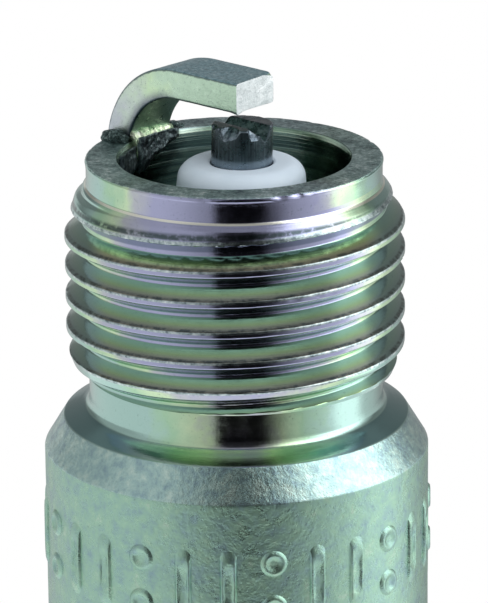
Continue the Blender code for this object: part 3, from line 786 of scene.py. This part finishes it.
def make_shell(material):
    """One closed skin: up the bore's mouth, over the end face, down the outside and up the inside."""
    angles = angles_of(SHELL_COLUMNS)[None, :]
    corner = hexagon_radius(angles)
    chamfer = math.tan(math.radians(30)) * (corner - HEX_FACE_RADIUS)
    bands = []

    def add(radius, height):
        bands.append(np.broadcast_arrays(radius, height, angles)[:2])

    def add_path(spots, step):
        path = rounded_path(spots, step)
        add(path[:, :1], path[:, 1:])

    def add_chamfer(face_height, toward, shares):
        for share in shares:
            add(HEX_FACE_RADIUS + (corner - HEX_FACE_RADIUS) * share,
                face_height + toward * chamfer * share)

    add_path([(BORE_RADIUS, 3.0, 0), (BORE_RADIUS, 10.98, 0.03), (4.73, REACH, 0.03), (5.90, REACH, 0.04),
        (6.01, 11.12, 0.05), (5.98, 10.98, 0.05), (LEAD_RADIUS, 10.8, 0.05),
        (LEAD_RADIUS, THREAD_TOP + 0.03, 0)], 0.10)
    rows = np.arange(THREAD_TOP, THREAD_BOTTOM - 0.001, -THREAD_STEP)[:, None]
    add(thread_surface(*np.broadcast_arrays(rows, angles)), rows)
    add_path([(NECK_RADIUS, THREAD_BOTTOM - 0.03, 0), (NECK_RADIUS, 1.9, 0), (NECK_RADIUS, 0.93, 0.30),
        (SEAT_TOP_RADIUS, seat_height(SEAT_TOP_RADIUS), 0.03),
        (BARREL_RADIUS, seat_height(BARREL_RADIUS), 0.06), (BARREL_RADIUS, -9.12, 0.12), (7.62, -9.3, 0.10),
        (7.15, -9.8, 0.2), (7.20, -10.1, 0.2), (7.42, -10.5, 0.3), (7.20, -10.9, 0.2), (7.15, -11.2, 0.2),
        (7.15, HEX_TOP, 0.1), (HEX_FACE_RADIUS, HEX_TOP, 0)], 0.16)
    add_chamfer(HEX_TOP, -1, (0.12, 0.4, 0.7, 0.94))
    drop = chamfer + 0.05
    for share in np.linspace(0, 1, 14):
        add(corner, (HEX_TOP - drop) * (1 - share) + (HEX_BOTTOM + drop) * share)
    add_chamfer(HEX_BOTTOM, 1, (0.94, 0.7, 0.4, 0.12))
    add_path([(HEX_FACE_RADIUS, HEX_BOTTOM, 0), (7.05, HEX_BOTTOM, 0.1), (7.05, -22.0, 0.3),
        (6.85, -22.6, 0.3), (6.40, -23.0, 0.2), (5.80, COLLAR_BOTTOM, 0.15), (5.30, COLLAR_BOTTOM, 0.08),
        (5.30, -22.6, 0.05), (5.90, -22.5, 0.05), (6.05, -22.1, 0.05), (6.05, -10.05, 0.05),
        (5.0, -9.0, 0.05), (5.0, -3.75, 0.05), (4.15, -2.9, 0.05), (4.15, -2.1, 0.05),
        (BORE_RADIUS, -1.7, 0.05), (BORE_RADIUS, 2.9, 0)], 0.6)
    radius, height = wear_shell(*(np.vstack(rows) for rows in zip(*bands)), angles)
    points = turned_points(radius, height, angles).reshape(-1, 3)
    return mesh_object("shell_body", points, grid_faces(len(radius), SHELL_COLUMNS, wrap_rows=True),
        material)


def make_barrel_marks(material):
    """A plain raised pattern round the barrel: two upright bars and two dots, repeated."""
    groups, around = 9, 36
    top, tall, wide, dot, proud = -2.75, 3.1, 0.70, 0.56, 0.11
    # share of the outline's size and share of the full height, from the hollow middle to the buried foot
    rings = [(0.18, 0.30), (0.40, 0.36), (0.56, 0.92), (0.68, 1.0), (0.80, 0.90), (1.0, 0.0), (1.0, -0.9)]
    points, faces = [], []

    def add_mark(middle_angle, middle_height, half_wide, half_tall):
        turn = angles_of(around)
        straight = (half_tall - half_wide) * np.sign(np.round(np.sin(turn), 6))
        outline_x = half_wide * np.cos(turn)
        outline_z = half_wide * np.sin(turn) + straight
        faces.extend(capped_grid(len(rings), around, len(points)))
        for share, rise in rings:
            angle = middle_angle + outline_x * share / BARREL_RADIUS
            reach = BARREL_RADIUS - 0.01 + proud * rise
            points.extend(turned_points(reach, middle_height + outline_z * share, angle))

    for group in range(groups):
        start = TAU * (group + 0.35) / groups
        spacing = TAU / groups / 3
        for bar in range(2):
            add_mark(start + bar * spacing, top - tall / 2, wide / 2, tall / 2)
        for middle in (top - 0.62, top - tall + 0.62):
            add_mark(start + 2 * spacing, middle, dot, dot)
    return mesh_object("barrel_marks", points, faces, material)


# ---- strap and weld


def strap_frame(along, across, height):
    """Points from the arm's own directions to the shell's."""
    spin = np.array(Matrix.Rotation(ARM_AZIMUTH, 3, "Z"))
    return np.stack(np.broadcast_arrays(along, across, height), axis=-1) @ spin.T


def rounded_rectangle(width, thickness, corner):
    """Outline points (across, through) of a strap section, anticlockwise from its right side."""
    corner_points, side_points = 5, 8
    signs = [(1, 1), (-1, 1), (-1, -1), (1, -1)]
    middles = [np.array([sx * (width / 2 - corner), sy * (thickness / 2 - corner)]) for sx, sy in signs]

    def arc_point(index, quarter):
        turn = math.radians(90 * (index + quarter))
        return middles[index] + corner * np.array([math.cos(turn), math.sin(turn)])

    outline = []
    for index in range(4):
        outline += [arc_point(index, step / (corner_points - 1)) for step in range(corner_points)]
        start, target = outline[-1], arc_point((index + 1) % 4, 0)
        outline += [start + (target - start) * step / side_points for step in range(1, side_points)]
    return np.array(outline)


def strap_path(stations):
    """Middle line of the strap in the arm's plane, as rows of (along, height, direction angle)."""
    start = math.pi / 2 - math.radians(8)
    end_along = 1.17
    length = STRAP_BEND * start + end_along - BEND_ALONG
    rows = [(BEND_ALONG - STRAP_BEND * math.sin(start) - 0.01, REACH - 0.08, start)]
    for run in np.linspace(0, length, stations):
        angle = max(start - run / STRAP_BEND, 0.0)
        straight = max(run - STRAP_BEND * start, 0.0)
        along = BEND_ALONG - STRAP_BEND * math.sin(angle) + straight
        rows.append((along, BEND_HEIGHT + STRAP_BEND * math.cos(angle), angle))
    return np.array(rows)


def make_strap(material, end_material):
    section = rounded_rectangle(STRAP_WIDTH, STRAP_THICKNESS, 0.11)
    across, through = section[:, 0], section[:, 1]
    along, height, angle = strap_path(84).T[:, :, None]
    reach, rise = along - through * np.sin(angle), height + through * np.cos(angle)
    rings = np.stack(np.broadcast_arrays(reach, across, rise), axis=-1)
    # the shear left the end face a little askew, pulled its top edge over and left a burr below it
    near_end = smooth_step(rings[..., 0], along[-1] - 0.35, along[-1])
    rings[..., 0] -= near_end * across * math.tan(math.radians(5))
    roll_over = near_end * smooth_step(through, 0.20, 0.62) * smooth_step(across, 0.5, 1.2)
    burr = near_end * smooth_step(-through, 0.50, 0.62) * smooth_step(-across, 0.75, 1.15)
    hollow = near_end * smooth_step(-through, 0.40, 0.62) * smooth_step(-across, -1.3, 0.6)
    rings[..., 0] -= 0.03 * roll_over
    rings[..., 2] += 0.05 * hollow - 0.14 * roll_over - 0.10 * burr
    rings += 0.010 * rough_noise(rings, 0.9, 3, 31)[..., None] * np.array([0.3, 1.0, 1.0])
    # end face: rings shrinking to its middle, slightly dished and torn
    side_rows, count = rings.shape[:2]
    middle = rings[-1].mean(axis=0)
    caps = []
    for share in (0.97, 0.9, 0.75, 0.55, 0.35, 0.15):
        ring = middle + (rings[-1] - middle) * share
        ring[:, 0] += 0.012 * (1 - share) + 0.016 * rough_noise(ring, 0.3, 3, 41)
        caps.append(ring)
    ends = [rings[0].mean(axis=0), middle + (0.012, 0, 0)]
    rings = np.concatenate([rings, caps])
    faces = grid_faces(len(rings), count)
    points, faces = close_ends(rings.reshape(-1, 3), faces, len(rings), count, ends)
    faces = [face[::-1] for face in faces]
    strap = mesh_object("ground_strap", strap_frame(*points.T), faces, material, 50)
    strap.data.materials.append(end_material)
    for face in strap.data.polygons:
        if min(face.vertices) >= (side_rows - 1) * count:
            face.material_index = 1
    return strap


def make_nuggets(material):
    """Knots of upset metal on the rim beside the strap's foot, with a little spatter."""
    # along and across the arm's direction, above the end face, half width, half height
    knots = [(-5.52, -1.44, 0.10, 0.36, 0.30), (-5.14, -1.50, 0.16, 0.34, 0.30),
        (-4.84, -1.42, 0.08, 0.26, 0.22), (-4.78, 1.50, 0.12, 0.28, 0.20), (-4.70, 1.86, 0.04, 0.13, 0.10),
        (-5.60, 1.42, 0.05, 0.30, 0.22)]
    rows, columns = 26, 40
    polar = np.linspace(0.06, math.pi - 0.06, rows)[:, None]
    ball = turned_points(np.sin(polar), np.cos(polar), angles_of(columns)[None, :])
    points, faces = [], []
    for along, across, rise, wide, tall in knots:
        middle = np.array([along, across, REACH + rise])
        size = np.array([wide, wide, tall])
        spots = middle + ball * size
        lumps = 0.34 * rough_noise(spots, 0.34, 3, 51) + 0.16 * rough_noise(spots, 0.14, 2, 52)
        spots = middle + ball * size * (1 + lumps[..., None])
        faces += capped_grid(rows, columns, len(points))
        points += list(strap_frame(*spots.reshape(-1, 3).T))
    return face_outward(mesh_object("weld_nuggets", points, faces, material, 180))


def make_weld_edge(material):
    """The chipped bright ridge squeezed out along the inside of the strap's foot."""
    rows, around = 130, 24
    share = np.linspace(0, 1, rows)[:, None]
    marks = [0, 0.16, 0.30, 0.93, 1.0]
    across = np.interp(share, marks, [-1.10, -1.16, -1.14, 1.30, 1.52])
    middle_along = np.interp(share, marks, [-4.42, -4.50, -4.66, -4.72, -4.86])
    middle_height = REACH + np.interp(share, marks, [-0.66, -0.26, 0.04, 0.03, 0])
    turn = angles_of(around)[None, :]
    ends = np.sin(np.pi * np.clip(share, 0.03, 0.97)) ** 0.4
    spots = np.stack(np.broadcast_arrays(middle_along, across, middle_height + 0 * turn), axis=-1)
    swell = ends * (1 + 0.55 * rough_noise(spots, 0.55, 3, 55))
    along = middle_along + 0.28 * swell * np.cos(turn)
    height = middle_height + (0.38 - 0.05 * across) * swell * np.sin(turn)
    points = strap_frame(along, across, height)
    facets = ends * np.round(rough_noise(points, 0.22, 3, 57) * 2.5) / 2.5
    points[..., 2] += 0.10 * facets
    points[..., :2] *= 1 + 0.006 * facets[..., None]
    middles = [points[0].mean(axis=0), points[-1].mean(axis=0)]
    skin, faces = close_ends(points.reshape(-1, 3), grid_faces(rows, around), rows, around, middles)
    return face_outward(mesh_object("weld_edge", skin, faces, material, 35))


def make_run(name, material, first_angle, last_angle, top, depths, proud, ragged, seed):
    """Weld metal that ran down the bore wall. depths gives shares of its width and its drop at each."""
    columns = 90
    share = np.linspace(0, 1, columns)[None, :]
    angle = np.radians(first_angle + (last_angle - first_angle) * share)
    edge_spots = turned_points(BORE_RADIUS, 0.0, angle)
    drop = np.interp(share, *zip(*depths)) * (1 + ragged * rough_noise(edge_spots, 0.30, 4, seed))
    side = np.clip(np.minimum(share, 1 - share) * 9, 0, 1) ** 0.5
    down = np.concatenate([np.linspace(-0.10, 0, 5)[:-1], np.linspace(0, 1, 40) ** 0.85])[:, None]
    over = np.clip(-down / 0.10, 0, 1)
    thick = proud * side * np.clip((1 - down) * 3.2, 0, 1) ** 0.6
    height = top - drop * np.clip(down, 0, 1) - 0.16 * over**2
    radius = BORE_RADIUS + 0.02 - thick + 0.42 * over
    spots = turned_points(radius, height, angle)
    bumps = rough_noise(spots, 0.5, 3, seed + 1) + 0.5 * rough_noise(spots, 0.18, 3, seed + 2)
    radius = radius + 0.35 * thick * bumps
    front = turned_points(radius, height, angle)
    back = turned_points(np.maximum(radius, BORE_RADIUS) + 0.12, height - 0.05 * over, angle)
    rows = len(front)
    behind = rows * columns
    faces = grid_faces(rows, columns, wrap_columns=False)
    faces += grid_faces(rows, columns, first=behind, wrap_columns=False, flip=True)
    numbers = np.arange(behind).reshape(rows, columns)
    border = [*numbers[:, 0], *numbers[-1, 1:], *numbers[-2::-1, -1], *numbers[0, -2:0:-1]]
    border = [int(number) for number in border]
    for near, far in zip(border, border[1:] + border[:1]):
        faces.append((near, near + behind, far + behind, far))
    points = np.vstack([front.reshape(-1, 3), back.reshape(-1, 3)])
    return mesh_object(name, points, faces, material, 180)


def make_weld_runs(material):
    """A smooth apron under the foot's middle and a ragged lobe to one side of it."""
    apron_depths = [(0, 0.9), (0.08, 1.55), (0.25, 1.50), (0.6, 0.95), (1.0, 0.45)]
    lobe_depths = [(0, 0.5), (0.2, 0.95), (0.5, 1.35), (0.8, 1.15), (1.0, 0.6)]
    apron = make_run("weld_apron", material, 150, 119, REACH + 0.14, apron_depths, 0.26, 0.14, 71)
    lobe = make_run("weld_lobe", material, 173, 148, REACH - 0.16, lobe_depths, 0.17, 0.45, 75)
    return apron, lobe


# ---- centre electrode


def broken_rim(radius, angles):
    """How deep the rim is chipped at each angle. Two flakes have broken off one prong."""
    chip = 0.03 + 0 * angles
    for middle, half, deep in [(-118, 26, 0.36), (-66, 15, 0.34), (-160, 16, 0.10), (70, 20, 0.06)]:
        turned = np.degrees(np.angle(np.exp(1j * (angles - math.radians(middle)))))
        chip = chip + deep * smooth_step(np.abs(turned), half, half * 0.45)
    return chip * (1 + 0.35 * rough_noise(turned_points(radius, CENTRE_TIP, angles), 0.35, 3, 87))


def make_centre_electrode(material):
    """Nickel electrode with a saw-cut V across its tip, and its head and lug inside the insulator."""
    columns, radius = 240, 1.235
    groove_half, groove_depth = 0.47, 0.58
    angles = angles_of(columns)[None, :]
    chip = broken_rim(radius, angles)
    # the tip: the V, the chipped bevel and a little wear
    shares = np.concatenate([np.linspace(0.04, 0.94, 30), [0.965, 0.985, 0.998]])[:, None]
    tip_radius = shares * radius + 0 * angles
    across = tip_radius * np.sin(angles - ARM_AZIMUTH)
    cut = np.clip(groove_half - np.abs(across), 0, None) * groove_depth / groove_half
    bevel = np.clip((tip_radius - (radius - 1.1 * chip)) / (1.1 * chip), 0, 1) * chip
    tip_height = CENTRE_TIP - np.maximum(cut, bevel) - 0.03 * smooth_step(shares, 0.93, 1.0)
    spots = turned_points(tip_radius, tip_height, angles)
    tip_height = tip_height + 0.022 * rough_noise(spots, 0.45, 3, 81)
    worn = smooth_step(rough_noise(spots, 0.7, 2, 84), 0.2, 0.8) * smooth_step(shares, 0.6, 1.0)
    tip_height = tip_height - 0.07 * worn
    # the wall joins the uneven rim to a level ring
    wall_bottom = NOSE_TIP - 0.35
    drops = np.array([0.03, 0.12, 0.3, 0.55, 0.8, 1.0])[:, None]
    wall_height = tip_height[-1:] * (1 - drops) + wall_bottom * drops
    lower = rounded_path([(radius, wall_bottom - 0.1, 0), (radius, NOSE_ROOT, 0), (radius, -6.5, 0.05),
        (1.95, -7.2, 0.1), (1.95, -8.6, 0.1), (1.2, -8.6, 0.05), (1.2, -9.8, 0.05), (0.82, -9.8, 0.05),
        (0.82, NOSE_ROOT, 0), (0.82, 8.8, 0.1)], 1.0)
    lower_radius, lower_height = (np.repeat(lower[:, i : i + 1], columns, axis=1) for i in range(2))
    ring_radius = np.vstack([tip_radius, np.full_like(wall_height, radius), lower_radius])
    ring_height = np.vstack([tip_height, wall_height, lower_height])
    points = turned_points(ring_radius, ring_height, angles, lean).reshape(-1, 3)
    rows = len(ring_radius)
    ends = turned_points(0.0, np.array([CENTRE_TIP - groove_depth, 9.6]), 0.0, lean)
    points, faces = close_ends(points, grid_faces(rows, columns), rows, columns, ends)
    return mesh_object("grooved_centre_electrode", points, faces, material, 35)


# ---- insulator, stud and nut


def make_insulator(material):
    nose = [(1.28, NOSE_TIP - 0.05, 0), (1.36, NOSE_TIP, 0.03), (1.80, NOSE_TIP, 0.05)]
    for turn in np.linspace(0.12, math.pi / 2, 9):
        nose.append((1.89 + 0.70 * math.sin(turn), NOSE_TIP - 0.70 * (1 - math.cos(turn)), 0))
    body = [(3.75, NOSE_ROOT, 0.3), (3.95, -3.35, 0.1), (4.85, -4.25, 0.1), (4.85, -9.57, 0.1),
        (5.88, -10.6, 0.15), (5.88, -15.2, 0.2), (5.0, -16.0, 0.2), (5.0, -26.2, 0.4)]
    ribs = []
    for number in range(5):
        top = -27.0 - 2.6 * number
        ribs += [(5.15, top, 0.45), (5.15, top - 1.17, 0.45), (4.45, top - 1.61, 0.45),
            (4.45, top - 2.16, 0.4)]
    end = [(4.45, -40.0, 0.3), (3.60, INSULATOR_END + 0.5, 0.3), (3.20, INSULATOR_END, 0.2)]
    inner = [(2.07, INSULATOR_END, 0.05), (2.07, -7.1, 0.05), (1.35, -6.4, 0.05), (1.35, NOSE_ROOT, 0),
        (1.28, NOSE_TIP - 0.3, 0)]
    return turned_piece("ribbed_insulator", nose + body + ribs + end + inner, material, 144, 0.22,
        shift=lean)


def screw_thread(low, high, pitch, crest, root):
    """A cut for turned_piece that threads a rod of radius crest between two heights."""

    def cut(radius, height, angle):
        turns = height / pitch - angle / TAU
        distance = np.abs((turns + 0.5) % 1 - 0.5) * pitch
        threaded = np.clip(crest - FLANK_SLOPE * (distance - pitch / 8), root, crest)
        amount = smooth_step(height, low, low + pitch) * smooth_step(-height, -high, -high + pitch)
        return np.where(np.abs(radius - crest) < 0.02, radius + amount * (threaded - crest), radius)

    return cut


def make_stud(material):
    collar_top = INSULATOR_END - 0.1
    spots = [(0, -22.6, 0), (1.3, -22.6, 0.1)]
    for groove in range(6):
        height = -22.9 - groove * 0.66
        spots += [(1.60, height, 0.05), (1.45, height - 0.33, 0.05)]
    spots += [(1.60, -27.0, 0), (1.60, -29.0, 0.1), (1.80, -29.2, 0.1), (1.80, collar_top, 0.05),
        (3.0, collar_top, 0.1), (3.0, collar_top - 0.7, 0.1), (2.0, collar_top - 0.7, 0)]
    spots += [(2.0, height, 0) for height in np.arange(collar_top - 0.75, STUD_END + 0.35, -0.05)]
    spots += [(1.65, STUD_END, 0.08), (0, STUD_END, 0)]
    cut = screw_thread(STUD_END - 0.2, collar_top - 0.8, 0.7, 2.0, 1.62)
    return turned_piece("threaded_stud", spots, material, 96, 0.6, cut=cut)


def make_nut(material):
    spots = [(2.13, NUT_TOP, 0.1), (3.02, NUT_TOP, 0.1), (3.17, NUT_TOP - 0.15, 0.1),
        (3.17, NUT_TOP - 1.5, 0.15), (2.62, NUT_TOP - 2.0, 0.25), (2.62, NUT_TOP - 3.4, 0.25),
        (3.17, NUT_TOP - 4.0, 0.25), (3.17, NUT_BOTTOM + 0.75, 0.3), (2.95, NUT_BOTTOM + 0.2, 0.25),
        (2.66, NUT_BOTTOM, 0.12), (2.25, NUT_BOTTOM, 0.06), (2.13, NUT_BOTTOM + 0.12, 0.06)]
    return turned_piece("screw_terminal", spots, material, 120, 0.18)


# ---- building the model


def build_model():
    plating = plated_shell()
    steel = bright_steel()

    def add(piece, slot, *nodes):
        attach(piece, "nut" if "terminal_nut" in nodes else "plug")
        if nodes:
            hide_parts(*nodes)

    add(make_shell(plating), "plated_steel", "metal_shell")
    add(make_barrel_marks(plating), "plated_steel")
    add(make_strap(strap_metal(), sheared_metal()), "nickel_alloy", "ground_electrode")
    add(make_nuggets(weld_metal()), "weld_steel", "ground_electrode_weld")
    add(make_weld_edge(chipped_metal()), "weld_steel")
    for run in make_weld_runs(run_metal()):
        add(run, "weld_steel")
    add(make_centre_electrode(dark_nickel()), "dark_nickel_alloy", "centre_electrode")
    add(make_insulator(ceramic()), "alumina", "insulator")
    add(make_stud(steel), "bright_steel", "terminal_stud")
    add(make_nut(steel), "bright_steel", "terminal_nut")

    copper = inner_metal("drawn_copper", (0.62, 0.28, 0.16), (0.86, 0.48, 0.32), 0.34)
    glass = inner_powder("copper_glass", (0.22, 0.10, 0.06), (0.52, 0.30, 0.18), 0.3)
    carbon = inner_powder("carbon_glass", (0.02, 0.02, 0.02), (0.12, 0.12, 0.12))
    washer_steel = inner_metal("pressed_steel", (0.32, 0.32, 0.31), (0.55, 0.55, 0.54), 0.42)
    talc = inner_powder("pressed_talc", (0.66, 0.64, 0.58), (0.86, 0.84, 0.78))
    inner = {"centre_electrode_copper_core": copper, "lower_glass_seal": glass, "upper_glass_seal": glass,
             "suppressor_resistor": carbon, "talc_filling": talc, "inner_seat_washer": washer_steel,
             "lower_packing_ring": washer_steel, "upper_packing_ring": washer_steel}
    for node, material in inner.items():
        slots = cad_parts[node].data.materials
        slots.clear()
        slots.append(material)


# ---- studio


def floor_material(radius_m):
    """Matt and pale, glowing white toward the edge."""
    material = bpy.data.materials.new("studio_floor")
    material.use_nodes = True
    nodes = Nodes(material.node_tree)
    shader = nodes.tree.nodes["Principled BSDF"]
    shader.inputs["Base Color"].default_value = (0.93, 0.93, 0.93, 1)
    shader.inputs["Roughness"].default_value = 0.8
    length = nodes.node("ShaderNodeVectorMath", operation="LENGTH")
    nodes.link(nodes.node("ShaderNodeTexCoord").outputs["Object"], length.inputs[0])
    mix = nodes.node("ShaderNodeMixShader")
    nodes.link(nodes.span(length.outputs["Value"], 0.012, radius_m * 0.9), mix.inputs[0])
    nodes.link(shader.outputs[0], mix.inputs[1])
    nodes.link(nodes.node("ShaderNodeEmission").outputs[0], mix.inputs[2])
    nodes.link(mix.outputs[0], nodes.tree.nodes["Material Output"].inputs["Surface"])
    return material


def make_floor():
    """A pale round table top that fades into the white of the studio at its edge."""
    radius_m = 0.105
    nut_travel_m = 0.0078  # the terminal nut comes off downwards, so it needs room
    rings, columns = 24, 96
    height = (cad_low.z - nut_travel_m) / MM
    reach = radius_m / MM * np.arange(1, rings + 1)[:, None] / rings
    points = turned_points(reach, height, angles_of(columns)[None, :]).reshape(-1, 3)
    faces = grid_faces(rings, columns, flip=True)
    faces += [(rings * columns, i, (i + 1) % columns) for i in range(columns)]
    points = np.vstack([points, [[0, 0, height]]])
    mesh_object("studio_floor", points, faces, floor_material(radius_m))


def make_studio():
    """White to the camera; to the metal, a softbox each side, a dark gap in front and a dim ceiling."""
    world = bpy.data.worlds.new("studio")
    bpy.context.scene.world = world
    world.use_nodes = True
    nodes = Nodes(world.node_tree)
    nodes.tree.nodes.clear()
    split = nodes.node("ShaderNodeSeparateXYZ")
    nodes.link(nodes.node("ShaderNodeTexCoord").outputs["Generated"], split.inputs[0])
    x, y, z = split.outputs
    # azimuth 0 is toward the camera, positive to the right, as a share of a turn from 0 to 1
    azimuth = nodes.math("ARCTAN2", x, nodes.times(y, -1.0))
    azimuth = nodes.plus(nodes.math("DIVIDE", azimuth, TAU), 0.5)
    elevation = nodes.math("DIVIDE", nodes.math("ARCSINE", z), math.radians(1))
    brightest = 2.8

    def grey(level):
        return (level / brightest,) * 3

    def panels(stops):
        """Brightness round the horizon, from (degrees, level) stops."""
        return nodes.ramp(azimuth, [(degrees / 360 + 0.5, grey(level)) for degrees, level in stops])

    low = panels([(-180, 0.35), (-150, 0.70), (-130, 0.80), (-112, 0.80), (-60, 0.78), (-44, 0.68),
        (-24, 0.46), (-16.8, 0.42), (-15.2, 0.004), (22, 0.004), (34, 0.20), (46, 0.5), (66, 0.75),
        (78, 0.95), (88, 1.6), (108, 1.6), (118, 0.80), (138, 0.60), (155, 0.35), (180, 0.35)])
    middle = panels([(-180, 0.3), (-140, 0.22), (-124, 0.45), (-90, 0.48), (-66, 0.75), (-44, 0.65),
        (-24, 0.45), (-16, 0.40), (-14, 0.02), (23, 0.02), (42, 0.7), (60, 1.4), (78, 2.4), (102, 2.4),
        (116, 0.7), (128, 0.22), (180, 0.3)])
    high = panels([(-180, 0.40), (-130, 0.32), (-112, 0.50), (-60, 0.62), (-34, 0.55), (-20, 0.35),
        (-12, 0.03), (18, 0.03), (34, 0.4), (50, 1.6), (68, 2.6), (98, 2.6), (114, 0.8), (130, 0.30),
        (180, 0.40)])
    total = grey(0.45)
    layers = ((-50, -36, low), (-2, 6, middle), (30, 37, high), (56, 66, grey(0.36)))
    for low_edge, high_edge, layer in layers:
        total = nodes.blend(nodes.span(elevation, low_edge, high_edge), total, layer)
    studio = nodes.node("ShaderNodeBackground")
    studio.inputs["Strength"].default_value = brightest
    nodes.link(total, studio.inputs["Color"])
    white = nodes.node("ShaderNodeBackground")
    white.inputs["Color"].default_value = (1, 1, 1, 1)
    mix = nodes.node("ShaderNodeMixShader")
    nodes.link(nodes.node("ShaderNodeLightPath").outputs["Is Camera Ray"], mix.inputs[0])
    nodes.link(studio.outputs[0], mix.inputs[1])
    nodes.link(white.outputs[0], mix.inputs[2])
    nodes.link(mix.outputs[0], nodes.node("ShaderNodeOutputWorld").inputs["Surface"])


def make_fill_light():
    """A broad soft light over the table. It brightens the ceramic, and the metal doesn't mirror it."""
    light = bpy.data.lights.new("fill", "AREA")
    light.shape = "DISK"
    light.size = 0.5
    light.energy = 2.2
    lamp = bpy.data.objects.new("fill", light)
    place = Vector((0.12, -0.45, 0.60))
    lamp.location = place
    lamp.rotation_euler = (-place).to_track_quat("-Z", "Y").to_euler()
    lamp.visible_glossy = False
    bpy.context.scene.collection.objects.link(lamp)


def make_camera():
    """A long lens 194 mm away, 18 degrees above the horizon, aimed just above the middle of the thread."""
    distance, elevation, roll = 0.1941, math.radians(17.82), math.radians(-0.493)
    aim = Vector((0.00035, 0, 0.00507))
    back = Vector((0, -math.cos(elevation), math.sin(elevation)))
    level = Vector((1, 0, 0))
    raised = back.cross(level)
    right = level * math.cos(roll) + raised * math.sin(roll)
    up = raised * math.cos(roll) - level * math.sin(roll)
    camera = bpy.data.objects.new("camera", bpy.data.cameras.new("camera"))
    camera.data.lens = 286.0
    camera.data.sensor_width = 36.0
    camera.data.clip_start = 0.01
    camera.data.clip_end = 10.0
    place = Matrix((right, up, back)).transposed().to_4x4()
    place.translation = aim + back * distance
    camera.matrix_world = place
    bpy.context.scene.collection.objects.link(camera)
    bpy.context.scene.camera = camera


make_camera()
build_model()
make_floor()
make_studio()
make_fill_light()
bpy.context.scene.view_settings.view_transform = "Standard"
